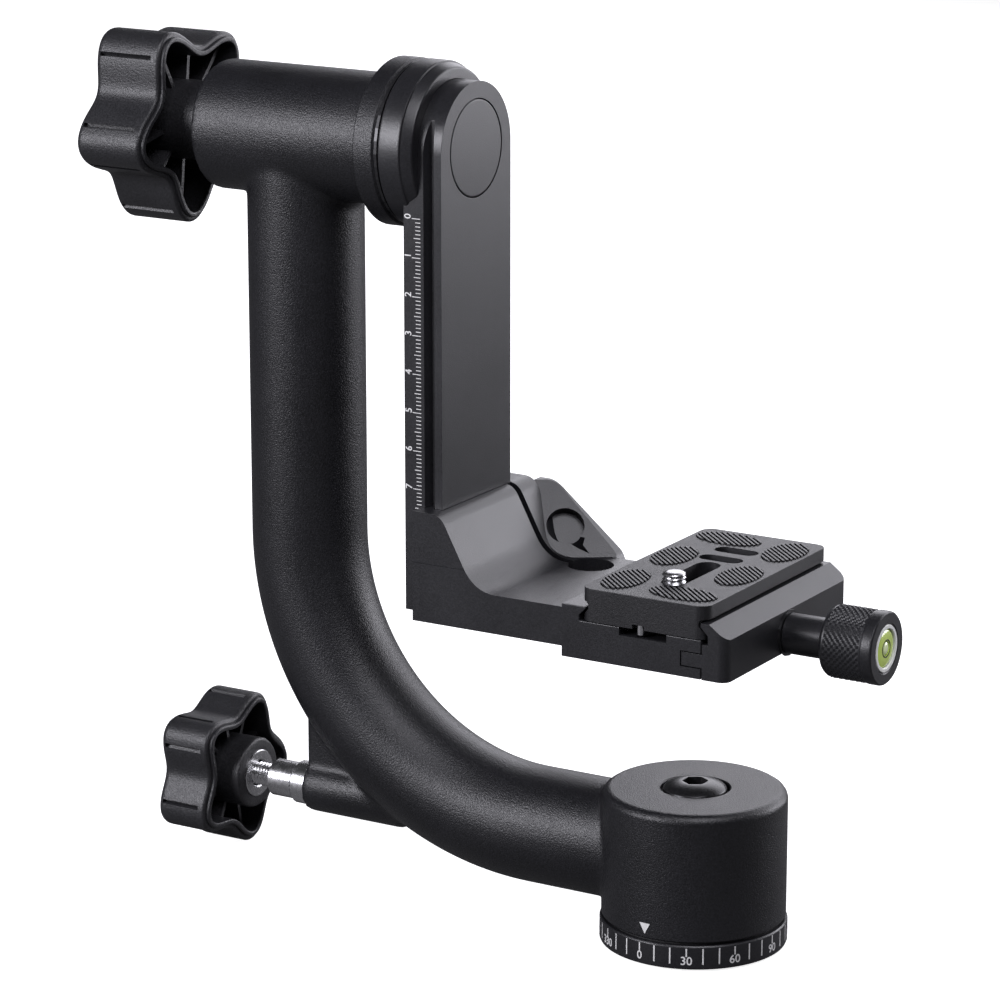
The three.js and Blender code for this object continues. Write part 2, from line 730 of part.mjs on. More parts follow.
const tongue = box(bracketEnd - pass, tongueEnd, -tongueHalf, tongueHalf, bracketBottom,
  tongueTop);
const mountHoles = [-1, 1].map((side) => alongZ([
  [0, bracketBottom - pass], [mountScrewHead + fitGap, bracketBottom - pass],
  [mountScrewHead + fitGap, bracketBottom + mountScrewHeadHeight],
  [mountScrewRadius + fitGap, bracketBottom + mountScrewHeadHeight],
  [mountScrewRadius + fitGap, mountScrewTop + fitGap], [0, mountScrewTop + fitGap],
], smallRound, mountScrewX, side * mountScrewY));
const bracketBody = unite(pushedY(slopeProfile, bracketNear, bracketFar),
  pushedY(lugProfile, lugInner, lugOuter), tongue);
add("l_bracket", cut(bracketBody, channel, slit, relief, lugPocket, heightBore,
  ...mountHoles), anodised());

add("height_lock_screw", cut(alongY([
  [0, heightScrewTip], [heightScrewRadius, heightScrewTip],
  [heightScrewRadius, heightHeadStart], [heightScrewHead, heightHeadStart],
  [heightScrewHead, heightHeadEnd], [0, heightHeadEnd],
], midRound, 0, 0), alongY(rod(hexCorner * smallHexShare, heightHeadEnd - hexDepth,
  heightHeadEnd + pass), hexSides, 0, 0)), blackSteel(), [heightScrewX, 0, heightScrewZ]);

// Quick-release clamp body with its fixed jaw, floor channel and screw holes
const clampShape = pushedY([
  [clampBack, clampBottom], [clampEnd, clampBottom], [clampEnd, clampFloor],
  [lipWallX, clampFloor], [lipWallX, lipLow], [lipTipX, lipTipZ], [lipTipX, lipTop],
  [clampBack, lipTop],
], -clampHalf, clampHalf);
const floorChannel = box(plateCentreX - clampChannelHalf, plateCentreX + clampChannelHalf,
  -clampHalf - pass, clampHalf + pass, clampChannelBottom, clampFloor + pass);
const tongueSeat = box(clampBack - pass, tongueEnd + runningGap, -tongueHalf - runningGap,
  tongueHalf + runningGap, clampBottom - pass, tongueTop);
const jawSlot = box(tongueSlotStart, clampEnd + pass, -clampHalf - pass, clampHalf + pass,
  tongueSlotLow, tongueSlotHigh);
const screwHole = alongX(rod(clampScrewRadius + runningGap, clampScrewEnd - pass,
  clampEnd + pass), smallRound, clampScrewZ);
const guideHoles = [-1, 1].map((side) => alongX(rod(guideRadius + runningGap,
  guideStart - runningGap, clampEnd + pass), pinRound, clampScrewZ, side * guideY));
add("clamp_body", cut(clampShape, floorChannel, tongueSeat, jawSlot, screwHole,
  ...guideHoles, ...mountHoles), anodised());
const mountScrewBody = cut(alongZ([
  [0, bracketBottom + fitGap], [mountScrewHead, bracketBottom + fitGap],
  [mountScrewHead, bracketBottom + mountScrewHeadHeight],
  [mountScrewRadius, bracketBottom + mountScrewHeadHeight],
  [mountScrewRadius, mountScrewTop], [0, mountScrewTop],
], smallRound), alongZ(rod(hexCorner * smallHexShare, bracketBottom - pass,
  bracketBottom + mountHexDepth), hexSides));
["clamp_mount_screw_near", "clamp_mount_screw_far"].forEach((name, i) => {
  add(name, mountScrewBody, blackSteel(), [mountScrewX, (2 * i - 1) * mountScrewY, 0]);
});

// Moving jaw with its guide pins
const jaw = startAssembly(platform);
const jawShape = unite(pushedY([
  [jawStart, clampBottom], [jawEnd, clampBottom], [jawEnd, jawChamferZ],
  [jawChamferX, jawTop], [jawTipX, jawTop], [jawTipX, jawTipZ], [jawWallX, jawLow],
  [jawWallX, clampFloor - pass], [jawStart, clampFloor - pass],
], -clampHalf, clampHalf), box(jawTongueStart, jawStart + pass, -clampHalf, clampHalf,
  jawTongueLow, jawTongueHigh));
const jawPlan = pushedZ([
  [jawTongueStart - pass, -clampHalf],
  ...arc(jawEnd - jawCorner, -clampHalf + jawCorner, jawCorner, -90, 0, cornerSteps),
  ...arc(jawEnd - jawCorner, clampHalf - jawCorner, jawCorner, 0, 90, cornerSteps),
  [jawTongueStart - pass, clampHalf],
], clampBottom - pass, jawTop + pass);
const jawScrewHole = alongX(rod(clampScrewRadius + runningGap, jawTongueStart - pass,
  jawEnd + pass), smallRound, clampScrewZ);
const jawPinHoles = [-1, 1].map((side) => alongX(rod(guideRadius + fitGap,
  jawTongueStart - pass, guideEnd + fitGap), pinRound, clampScrewZ, side * guideY));
add("clamp_jaw", cut(jawShape.intersect(jawPlan), jawScrewHole, ...jawPinHoles),
  anodised());
const guidePin = alongX(rod(guideRadius, guideStart, guideEnd), pinRound, 0);
["jaw_guide_pin_near", "jaw_guide_pin_far"].forEach((name, i) => {
  add(name, guidePin, steel(), [0, (2 * i - 1) * guideY, clampScrewZ]);
});
add("clamp_knob_washer", alongX(ring(clampScrewRadius + runningGap, neckWasherRadius,
  jawEnd, neckWasherEnd - washerLift), smallRound, clampScrewZ), steel());

// Clamp knob with its screw and the round level in its end
startAssembly(jaw).position.z = clampScrewZ;
const knurlPoints = [];
for (let i = 0; i < 2 * knurlTeeth; i += 1) {
  const angle = (Math.PI * i) / knurlTeeth;
  const radius = knobRadius - (i % 2) * knurlDepth;
  knurlPoints.push([radius * Math.cos(angle), radius * Math.sin(angle)]);
}
const knobCore = alongX([
  [0, neckWasherEnd], [neckRadius, neckWasherEnd], [neckRadius, knobBackX],
  [knobRadius - knurlDepth - (knurlStart - knobBackX), knobBackX],
  [knobRadius - knurlDepth, knurlStart], [knobRadius - knurlDepth, knurlEnd],
  [knobRadius, knurlEnd], [knobRadius, knobFaceX - faceChamfer],
  [knobRadius - faceChamfer, knobFaceX], [0, knobFaceX],
], fineRound, 0);
const levelSeat = alongX(rod(levelRadius + fitGap, knobFaceX - levelDepth,
  knobFaceX + pass), midRound, 0);
const screwSeat = alongX(rod(clampScrewRadius + fitGap, neckWasherEnd - pass, neckEnd),
  smallRound, 0);
add("clamp_knob", cut(unite(knobCore, pushedX(knurlPoints, knurlStart, knurlEnd)),
  levelSeat, screwSeat), anodised());
add("clamp_screw", alongX(rod(clampScrewRadius, clampScrewEnd, neckEnd), smallRound, 0),
  steel());
add("level_ring", alongX([
  [0, knobFaceX - levelDepth], [levelRadius, knobFaceX - levelDepth],
  [levelRadius, knobFaceX], [levelRadius - levelWall, knobFaceX],
  [levelRadius - levelWall, knobFaceX - levelDepth + levelWall],
  [0, knobFaceX - levelDepth + levelWall],
], midRound, 0), paint(0xe9ebe6, 0.3, 0.0));
const vialBody = alongX(rod(levelRadius - levelWall - fitGap,
  knobFaceX - levelDepth + levelWall, knobFaceX - levelSink), midRound, 0);
const bubbleSeat = alongX(rod(bubbleRadius + fitGap, knobFaceX - levelSink - bubbleDepth,
  knobFaceX + pass), smallRound, 0);
add("level_vial", cut(vialBody, bubbleSeat), paint(0xb4d544, 0.12, 0.0));
add("level_bubble", alongX(rod(bubbleRadius, knobFaceX - levelSink - bubbleDepth,
  knobFaceX - levelSink), smallRound, 0), paint(0xe6f3b4, 0.08, 0.0));

// Camera plate: slab, dovetail grooves, slots, screw well, pad seats and end notches
const plate = startAssembly(platform);
plate.position.x = plateCentreX;
const grooveX = plateHalfX - plateGrooveDepth;
const plateSection = pushedY([
  [-plateHalfX, plateBottom], [plateHalfX, plateBottom], [plateHalfX, plateFlangeTop],
  [grooveX, plateGrooveLow], [grooveX, plateGrooveHigh],
  [plateHalfX - grooveLip, plateSlabBottom], [plateHalfX, plateSlabBottom],
  [plateHalfX, plateTop], [-plateHalfX, plateTop], [-plateHalfX, plateSlabBottom],
  [-plateHalfX + grooveLip, plateSlabBottom], [-grooveX, plateGrooveHigh],
  [-grooveX, plateGrooveLow], [-plateHalfX, plateFlangeTop],
], -plateHalfY, plateHalfY);
const innerX = plateHalfX - plateCorner;
const innerY = plateHalfY - plateCorner;
const platePlan = pushedZ([
  ...arc(innerX, -innerY, plateCorner, -90, 0, cornerSteps),
  ...arc(innerX, innerY, plateCorner, 0, 90, cornerSteps),
  ...arc(-innerX, innerY, plateCorner, 90, 180, cornerSteps),
  ...arc(-innerX, -innerY, plateCorner, 180, 270, cornerSteps),
], plateBottom - pass, plateTop + pass);
const longSlot = (half, from, to, low, high) => pushedZ([
  ...arc(0, from, half, 180, 360, slotSteps), ...arc(0, to, half, 0, 180, slotSteps),
], low, high);
const crossSlots = crossSlotY.map((y) => pushedZ([
  ...arc(-crossSlotReach, y, crossSlotHalf, 90, 270, slotSteps),
  ...arc(crossSlotReach, y, crossSlotHalf, -90, 90, slotSteps),
], plateBottom - pass, plateTop + pass));
function padShape(grow, low, high) {
  const points = [];
  for (let i = 0; i < padPoints; i += 1) {
    const angle = (2 * Math.PI * i) / padPoints;
    points.push([(padHalfLength + grow) * Math.cos(angle),
      (padHalfWidth + grow) * Math.sin(angle)]);
  }
  return push(outline(points), high - low).translate(0, 0, low);
}
const padSeats = padRows.map(({ x, y, turn }) => solid(padShape(fitGap,
  plateTop - padDepth, plateTop + pass)
  .rotateZ(THREE.MathUtils.degToRad(turn)).translate(x, y, 0)));
const stopOffset = stopX - plateCentreX;
const stopHoles = [-1, 1].map((side) => alongZ(rod(stopRadius + fitGap,
  plateBottom - pass, stopTop + fitGap), pinRound, side * stopOffset * -1, side * stopY));
const notches = [-1, 1].map((side) => box(
  -side * stopOffset - notchHalf, -side * stopOffset + notchHalf,
  side > 0 ? stopY : -plateHalfY - pass, side > 0 ? plateHalfY + pass : -stopY,
  plateBottom - pass, notchTop));
add("camera_plate", cut(plateSection.intersect(platePlan),
  longSlot(slotHalf, slotStartY, slotEndY, plateBottom - pass, plateTop + pass),
  longSlot(wellHalf, slotStartY, slotEndY, plateBottom - pass, wellTop),
  ...crossSlots, ...padSeats, ...stopHoles, ...notches), anodised());
padRows.forEach(({ x, y, turn }, i) => {
  const body = solid(padShape(0, plateTop - padDepth, plateTop + padRise));
  const mesh = add(`plate_pad_${i + 1}`, body, rubber(), [x, y, 0]);
  mesh.rotation.z = THREE.MathUtils.degToRad(turn);
});
const stopScrew = alongZ(rod(stopRadius, stopBottom, stopTop), pinRound);
["plate_stop_screw_near", "plate_stop_screw_far"].forEach((name, i) => {
  const side = 2 * i - 1;
  add(name, stopScrew, nickel(), [-side * stopOffset, side * stopY, 0]);
});

// Camera screw on its sliding washer
const screwCarriage = startAssembly(plate);
screwCarriage.position.y = cameraScrewY;
add("camera_screw_washer", alongZ(ring(cameraThreadRadius + fitGap, cameraWasherRadius,
  cameraHeadTop, wellTop - washerLift), midRound), nickel());
startAssembly(screwCarriage);
const cameraScrew = alongZ([
  [0, cameraHeadBottom], [cameraHeadRadius, cameraHeadBottom],
  [cameraHeadRadius, cameraHeadTop - washerLift],
  [cameraThreadRadius, cameraHeadTop - washerLift],
  [cameraThreadRadius, cameraThreadTop - cameraThreadChamfer],
  [cameraThreadRadius - cameraThreadChamfer, cameraThreadTop], [0, cameraThreadTop],
], midRound);
const coinSlot = box(-cameraHeadRadius - pass, cameraHeadRadius + pass, -cameraSlotHalf,
  cameraSlotHalf, cameraHeadBottom - pass, cameraHeadBottom + cameraSlotDepth);
add("camera_screw", cut(cameraScrew, coinSlot), nickel());

export default group;
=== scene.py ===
# Gimbal tripod head with a J-shaped swing arm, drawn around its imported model.
# Lengths are written in millimetres and multiplied by MM, and +X runs along the tilt axis
# from the tilt knob towards the clamp knob. Each section is one piece or one group of them.
import math

import bmesh
import bpy
from mathutils import Matrix, Vector


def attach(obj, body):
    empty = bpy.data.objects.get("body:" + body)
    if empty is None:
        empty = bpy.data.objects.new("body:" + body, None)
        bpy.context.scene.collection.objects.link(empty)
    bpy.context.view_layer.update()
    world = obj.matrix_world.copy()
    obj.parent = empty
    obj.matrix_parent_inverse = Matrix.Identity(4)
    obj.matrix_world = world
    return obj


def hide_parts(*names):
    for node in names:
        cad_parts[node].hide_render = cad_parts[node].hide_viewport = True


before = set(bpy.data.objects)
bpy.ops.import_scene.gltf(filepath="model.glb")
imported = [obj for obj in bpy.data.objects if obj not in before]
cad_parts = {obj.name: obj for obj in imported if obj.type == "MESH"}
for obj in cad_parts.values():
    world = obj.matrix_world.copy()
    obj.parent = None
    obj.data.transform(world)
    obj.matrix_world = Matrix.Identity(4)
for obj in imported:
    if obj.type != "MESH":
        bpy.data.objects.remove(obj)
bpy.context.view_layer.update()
MM = 0.001


# Studio: the camera of the photograph, found from the scale on the rail, four large soft
# lamps, and a floor that is pale to the camera and keeps the shadow. The head itself sees a
# dark floor, so that no white is mirrored in its near faces.
def look_at(item, target):
    direction = Vector(target) - item.location
    item.rotation_euler = direction.to_track_quat("-Z", "Y").to_euler()


camera_data = bpy.data.cameras.new("camera")
camera = bpy.data.objects.new("camera", camera_data)
bpy.context.collection.objects.link(camera)
camera.location = (0.453018, -0.854166, 0.368832)
camera.rotation_euler = (math.radians(90 - 14.68607), 0, math.radians(30.87951))
camera_data.sensor_width = 36
camera_data.lens = 144.0643
camera_data.clip_start = 0.05
bpy.context.scene.camera = camera
bpy.context.scene.view_settings.view_transform = "Standard"

LAMP_COLOUR = (0.94, 0.93, 1.0)
# name, place, target, width, height, power in watts
LAMPS = [
    ("lamp_key", (-0.69, -1.0, 0.50), (-0.08, 0, 0.14), 0.6, 0.45, 13.5),
    ("lamp_top", (0.38, -0.50, 0.95), (-0.05, 0, 0.12), 0.6, 0.5, 7.5),
    ("lamp_back", (0.14, 1.25, 0.72), (-0.04, 0, 0.1), 2.3, 0.85, 18.0),
    ("lamp_right", (0.62, 1.0, 0.22), (-0.04, 0, 0.1), 0.7, 0.4, 5.0),
]
for name, place, target, width, height, power in LAMPS:
    lamp_data = bpy.data.lights.new(name, "AREA")
    lamp_data.shape = "RECTANGLE"
    lamp_data.size, lamp_data.size_y = width, height
    lamp_data.energy = power
    lamp_data.color = LAMP_COLOUR
    lamp = bpy.data.objects.new(name, lamp_data)
    bpy.context.collection.objects.link(lamp)
    lamp.location = place
    look_at(lamp, target)

world = bpy.data.worlds.new("studio")
bpy.context.scene.world = world
world.use_nodes = True
nodes, links = world.node_tree.nodes, world.node_tree.links
rays = nodes.new("ShaderNodeLightPath")
backdrop = nodes.new("ShaderNodeBackground")
room = nodes["Background"]
room.inputs["Color"].default_value = (0.93, 0.96, 1.0, 1)
room.inputs["Strength"].default_value = 0.04
by_camera = nodes.new("ShaderNodeMixShader")
links.new(rays.outputs["Is Camera Ray"], by_camera.inputs[0])
links.new(room.outputs[0], by_camera.inputs[1])
links.new(backdrop.outputs[0], by_camera.inputs[2])
links.new(by_camera.outputs[0], nodes["World Output"].inputs["Surface"])

FLOOR_GLOW, FLOOR_TO_THE_HEAD, FLOOR_TO_THE_CAMERA = 0.86, 0.12, 0.82
bpy.ops.mesh.primitive_plane_add(size=14, location=(0, 3, -0.0006))
floor = bpy.context.object
floor.name = "floor"
floor_paint = bpy.data.materials.new("pale_floor")
floor_paint.use_nodes = True
nodes, links = floor_paint.node_tree.nodes, floor_paint.node_tree.links
sheet = nodes["Principled BSDF"]
sheet.inputs["Roughness"].default_value = 0.9
glow = nodes.new("ShaderNodeEmission")
glow.inputs["Color"].default_value = (1, 1, 1, 1)
rays = nodes.new("ShaderNodeLightPath")
fill = nodes.new("ShaderNodeMath")
fill.operation = "MULTIPLY"
fill.inputs[1].default_value = FLOOR_GLOW
links.new(rays.outputs["Is Camera Ray"], fill.inputs[0])
tone = nodes.new("ShaderNodeMapRange")
tone.inputs["To Min"].default_value = FLOOR_TO_THE_HEAD
tone.inputs["To Max"].default_value = FLOOR_TO_THE_CAMERA
links.new(rays.outputs["Is Camera Ray"], tone.inputs["Value"])
links.new(tone.outputs["Result"], sheet.inputs["Base Color"])
links.new(fill.outputs[0], glow.inputs["Strength"])
both = nodes.new("ShaderNodeAddShader")
links.new(sheet.outputs[0], both.inputs[0])
links.new(glow.outputs[0], both.inputs[1])
links.new(both.outputs[0], nodes["Material Output"].inputs["Surface"])
floor.data.materials.append(floor_paint)


# Dial ring: a turned aluminium disc, anodised black, that the tripod screw pulls down on.
# It is the foot of the head and stays still while the arm turns on it.
def noise_group():
    """Fine grain in object space: a height for bump and a tone for colour and roughness."""
    group = bpy.data.node_groups.new("fine_grain", "ShaderNodeTree")
    face = group.interface
    for name, value in (("Scale", 1500.0), ("Patch Scale", 60.0)):
        socket = face.new_socket(name, in_out="INPUT", socket_type="NodeSocketFloat")
        socket.default_value = value
    face.new_socket("Height", in_out="OUTPUT", socket_type="NodeSocketFloat")
    face.new_socket("Tone", in_out="OUTPUT", socket_type="NodeSocketFloat")
    nodes, links = group.nodes, group.links
    source = nodes.new("NodeGroupInput")
    result = nodes.new("NodeGroupOutput")
    place = nodes.new("ShaderNodeTexCoord")
    grain = nodes.new("ShaderNodeTexNoise")
    grain.inputs["Detail"].default_value = 3.0
    patch = nodes.new("ShaderNodeTexNoise")
    patch.inputs["Detail"].default_value = 2.0
    for texture, scale in ((grain, "Scale"), (patch, "Patch Scale")):
        links.new(place.outputs["Object"], texture.inputs["Vector"])
        links.new(source.outputs[scale], texture.inputs["Scale"])
    blend = nodes.new("ShaderNodeMix")
    blend.inputs["Factor"].default_value = 0.25
    links.new(grain.outputs["Fac"], blend.inputs["A"])
    links.new(patch.outputs["Fac"], blend.inputs["B"])
    links.new(grain.outputs["Fac"], result.inputs["Height"])
    links.new(blend.outputs["Result"], result.inputs["Tone"])
    return group


fine_grain = noise_group()


def finish_material(name, dark, light, rough, grain, patch, bump, metallic=0.0, coat=0.0):
    """A procedural finish: the tone moves colour and roughness, and the grain gives bump.

    Rough is the least and the most roughness, and bump is the height of the grain in mm."""
    material = bpy.data.materials.new(name)
    material.use_nodes = True
    nodes, links = material.node_tree.nodes, material.node_tree.links
    shader = nodes["Principled BSDF"]
    shader.inputs["Metallic"].default_value = metallic
    shader.inputs["Coat Weight"].default_value = coat
    group = nodes.new("ShaderNodeGroup")
    group.node_tree = fine_grain
    group.inputs["Scale"].default_value = grain
    group.inputs["Patch Scale"].default_value = patch
    darkest, lightest = 0.3, 0.7
    ramp = nodes.new("ShaderNodeValToRGB")
    ramp.color_ramp.elements[0].position = darkest
    ramp.color_ramp.elements[1].position = lightest
    ramp.color_ramp.elements[0].color = (*dark, 1)
    ramp.color_ramp.elements[1].color = (*light, 1)
    links.new(group.outputs["Tone"], ramp.inputs["Fac"])
    links.new(ramp.outputs["Color"], shader.inputs["Base Color"])
    spread = nodes.new("ShaderNodeMapRange")
    spread.inputs["From Min"].default_value = darkest
    spread.inputs["From Max"].default_value = lightest
    spread.inputs["To Min"].default_value = rough[0]
    spread.inputs["To Max"].default_value = rough[1]
    links.new(group.outputs["Tone"], spread.inputs["Value"])
    links.new(spread.outputs["Result"], shader.inputs["Roughness"])
    if bump:
        relief = nodes.new("ShaderNodeBump")
        relief.inputs["Strength"].default_value = 1.0
        relief.inputs["Distance"].default_value = bump * MM
        links.new(group.outputs["Height"], relief.inputs["Height"])
        links.new(relief.outputs["Normal"], shader.inputs["Normal"])
    return material


def deselect():
    if bpy.context.mode != "OBJECT":
        bpy.ops.object.mode_set(mode="OBJECT")
    bpy.ops.object.select_all(action="DESELECT")


def activate(piece):
    deselect()
    piece.select_set(True)
    bpy.context.view_layer.objects.active = piece


def settle(piece):
    """Puts the object's place into its mesh, and leaves the object at the origin."""
    activate(piece)
    bpy.ops.object.transform_apply(location=True, rotation=True, scale=True)


def named(name):
    piece = bpy.context.object
    piece.name = name
    piece.data.name = name
    settle(piece)
    return piece


def first_point(point):
    """One vertex in edit mode, ready to be extruded into a profile."""
    deselect()
    bpy.ops.mesh.primitive_plane_add(size=MM)
    bpy.ops.object.mode_set(mode="EDIT")
    bpy.ops.mesh.select_mode(type="VERT")
    bpy.ops.mesh.select_all(action="SELECT")
    bpy.ops.mesh.merge(type="CENTER")
    bpy.ops.transform.translate(value=[v * MM for v in point])


def draw(points, closed=True):
    """Extrudes one vertex from point to point, and closes the line."""
    first_point(points[0])
    for before, after in zip(points, points[1:]):
        step = [(b - a) * MM for a, b in zip(before, after)]
        bpy.ops.mesh.extrude_region_move(TRANSFORM_OT_translate={"value": step})
    bpy.ops.mesh.select_all(action="SELECT")
    if closed:
        form = bmesh.from_edit_mesh(bpy.context.object.data)
        form.edges.new([v for v in form.verts if len(v.link_edges) == 1])
        bmesh.update_edit_mesh(bpy.context.object.data)


AXES = {"X": Vector((1, 0, 0)), "Y": Vector((0, 1, 0)), "Z": Vector((0, 0, 1))}
SAME_POINT = 0.002 * MM


def spun(name, rows, axis, centre=(0, 0, 0), steps=96, closed=True):
    """A turned piece: rows of (radius, place along the axis), spun round the axis."""
    along = AXES[axis]
    across = AXES["Z"] if axis != "Z" else AXES["X"]
    middle = Vector(centre)
    draw([middle + across * radius + along * place for radius, place in rows], closed)
    bpy.ops.mesh.select_all(action="SELECT")
    bpy.ops.mesh.spin(steps=steps, angle=2 * math.pi, center=middle * MM, axis=along)
    bpy.ops.mesh.select_all(action="SELECT")
    bpy.ops.mesh.remove_doubles(threshold=SAME_POINT)
    bpy.ops.mesh.dissolve_degenerate(threshold=SAME_POINT)
    bpy.ops.mesh.normals_make_consistent(inside=False)
    bpy.ops.object.mode_set(mode="OBJECT")
    return named(name)


def apply_modifier(piece, kind, **values):
    activate(piece)
    modifier = piece.modifiers.new(kind.lower(), kind)
    for key, value in values.items():
        setattr(modifier, key, value)
    bpy.ops.object.modifier_apply(modifier=modifier.name)


def dress(piece, body, slot, material, *nodes, angle=35):
    """Smooth shading that keeps flat faces flat, the finish, and the body it moves with."""
    activate(piece)
    bpy.ops.object.shade_smooth_by_angle(angle=math.radians(angle))
    apply_modifier(piece, "WEIGHTED_NORMAL", keep_sharp=True, weight=100)
    piece.data.materials.clear()
    piece.data.materials.append(material)
    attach(piece, body)
    if nodes:
        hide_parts(*nodes)


anodised_black = finish_material(
    "anodised_black", (0.006, 0.006, 0.007), (0.020, 0.020, 0.023), (0.30, 0.42),
    grain=3200, patch=70, bump=0.035)
DIAL_RADIUS = 24.1
dial_ring = spun("dial_ring", [
    (7.6, 0.3), (7.9, 0.0), (23.5, 0.0), (23.9, 0.15), (DIAL_RADIUS, 0.6),
    (DIAL_RADIUS, 5.75),
    (24.0, 6.05), (23.75, 6.3), (15.2, 6.3), (15.2, 4.6), (7.6, 4.6)], "Z", steps=160)
dress(dial_ring, "base", "black_anodised", anodised_black, "dial_base")


# Degree scale: a tick at every 10 degrees, shorter where a number stands under it, printed
# in white ink round the rim of the dial ring. The ink stands a few hundredths proud.
def turned_copy(piece, name, axis, degrees, centre=(0, 0, 0)):
    """A copy with its own mesh, turned about an axis through the centre."""
    twin = piece.copy()
    twin.data = piece.data.copy()
    twin.name = twin.data.name = name
    bpy.context.collection.objects.link(twin)
    middle = Vector(centre) * MM
    turn = Matrix.Rotation(math.radians(degrees), 4, axis)
    twin.data.transform(Matrix.Translation(middle) @ turn @ Matrix.Translation(-middle))
    return twin


def joined(name, pieces):
    activate(pieces[0])
    for piece in pieces:
        piece.select_set(True)
    bpy.ops.object.join()
    pieces[0].name = pieces[0].data.name = name
    return pieces[0]


def block(name, low, high):
    deselect()
    centre = [(a + b) / 2 * MM for a, b in zip(low, high)]
    size = [(b - a) * MM for a, b in zip(low, high)]
    bpy.ops.mesh.primitive_cube_add(size=1, location=centre, scale=size)
    return named(name)


def printed(name, number, size):
    """A printed number, lying flat and centred on the origin."""
    deselect()
    bpy.ops.object.text_add()
    lettering = bpy.context.object.data
    lettering.body = str(number)
    lettering.size = size * MM
    lettering.align_x = "CENTER"
    lettering.align_y = "CENTER"
    lettering.offset = 0.03 * MM
    lettering.extrude = 0.02 * MM
    lettering.resolution_u = 3
    bpy.ops.object.convert(target="MESH")
    piece = named(name)
    bpy.ops.object.mode_set(mode="EDIT")
    bpy.ops.mesh.select_all(action="SELECT")
    bpy.ops.mesh.remove_doubles(threshold=SAME_POINT)
    bpy.ops.mesh.normals_make_consistent(inside=False)
    bpy.ops.object.mode_set(mode="OBJECT")
    return piece


white_ink = finish_material(
    "white_ink", (0.62, 0.62, 0.61), (0.80, 0.80, 0.79), (0.42, 0.55),
    grain=1400, patch=90, bump=0.01)
DIAL_ZERO, DIAL_STEP, NUMBER_STEP = -96, 10, 30
TICK_HALF, TICK_TOP, LONG_FOOT, SHORT_FOOT = 0.18, 5.75, 1.5, 3.6
NUMBER_HEIGHT, NUMBER_SIZE = 2.35, 3.1
tick_low, tick_high = DIAL_RADIUS - 0.3, DIAL_RADIUS + 0.035
long_tick = block("long_tick", (tick_low, -TICK_HALF, LONG_FOOT),
                  (tick_high, TICK_HALF, TICK_TOP))
short_tick = block("short_tick", (tick_low, -TICK_HALF, SHORT_FOOT),
                   (tick_high, TICK_HALF, TICK_TOP))
ticks = [turned_copy(long_tick if bearing % NUMBER_STEP else short_tick, "tick", "Z",
                     DIAL_ZERO + bearing) for bearing in range(0, 360, DIAL_STEP)]
for pattern in (long_tick, short_tick):
    bpy.data.objects.remove(pattern, do_unlink=True)
dress(joined("dial_ticks", ticks), "base", "white_plastic", white_ink)

numbers = []
for number in range(0, 360, NUMBER_STEP):
    figure = printed("figure", number, NUMBER_SIZE)
    for vertex in figure.data.vertices:
        along, up, proud = vertex.co / MM
        angle = math.radians(DIAL_ZERO + number) + along / DIAL_RADIUS
        radius = DIAL_RADIUS + 0.015 + proud
        vertex.co = Vector((radius * math.cos(angle), radius * math.sin(angle),
                            NUMBER_HEIGHT + up)) * MM
    numbers.append(figure)
dress(joined("dial_numbers", numbers), "base", "white_plastic", white_ink)


# Thread insert: a plain steel bush pressed into the dial ring. The tripod's 3/8 inch screw
# goes into its thread, which is cut from the mouth to the closed end.
def thread(piece, axis, centre, low, high, radius, depth, pitch):
    """Winds a screw thread into the points on one radius: they move by depth in a helix."""
    along = "XYZ".index(axis)
    first, second = [i for i in range(3) if i != along]
    for vertex in piece.data.vertices:
        u = vertex.co[first] / MM - centre[first]
        v = vertex.co[second] / MM - centre[second]
        h = vertex.co[along] / MM
        distance = math.hypot(u, v)
        if abs(distance - radius) > 0.02 or not low < h < high:
            continue
        wave = 1 - abs(2 * ((h / pitch - math.atan2(v, u) / (2 * math.pi)) % 1) - 1)
        fade = min(1, (h - low) / pitch, (high - h) / pitch)
        scale = (radius + depth * wave * fade) / distance
        vertex.co[first] = (centre[first] + u * scale) * MM
        vertex.co[second] = (centre[second] + v * scale) * MM


def stepped(radius, start, end, step):
    """Rows on one radius, close enough for a thread."""
    count = max(2, round(abs(end - start) / step))
    return [(radius, start + (end - start) * i / count) for i in range(count + 1)]


turned_steel = finish_material(
    "turned_steel", (0.42, 0.42, 0.43), (0.58, 0.58, 0.59), (0.24, 0.38),
    grain=1500, patch=120, bump=0.02, metallic=1.0)
SOCKET_RADIUS, SOCKET_PITCH = 4.0, 1.5875
thread_insert = spun("thread_insert", [
    (0, 9.6), (7.45, 9.6), (7.45, 0.2), (7.25, 0.0), (4.5, 0.0), (4.1, 0.4),
    *stepped(SOCKET_RADIUS, 0.7, 8.2, 0.26), (SOCKET_RADIUS, 8.6), (0, 8.6)],
    "Z", steps=64, closed=False)
thread(thread_insert, "Z", (0, 0, 0), low=0.5, high=8.4, radius=SOCKET_RADIUS, depth=0.6,
       pitch=SOCKET_PITCH)
dress(thread_insert, "base", "plain_steel", turned_steel, "tripod_thread_insert")


# Spindle, glide ring and washer: the turned steel spindle stands on the dial ring, the nylon
# ring carries the arm, and the washer lies under the bolt. Only their edges are ever seen.
def refinish(material, *nodes):
    """Gives CAD nodes whose shape is right a finish of their own."""
    for node in nodes:
        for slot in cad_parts[node].material_slots:
            slot.material = material


black_nylon = finish_material(
    "black_nylon", (0.016, 0.016, 0.017), (0.03, 0.03, 0.032), (0.48, 0.6),
    grain=900, patch=50, bump=0.02)
refinish(turned_steel, "pan_spindle", "pan_bolt_washer")
refinish(black_nylon, "pan_glide_ring")


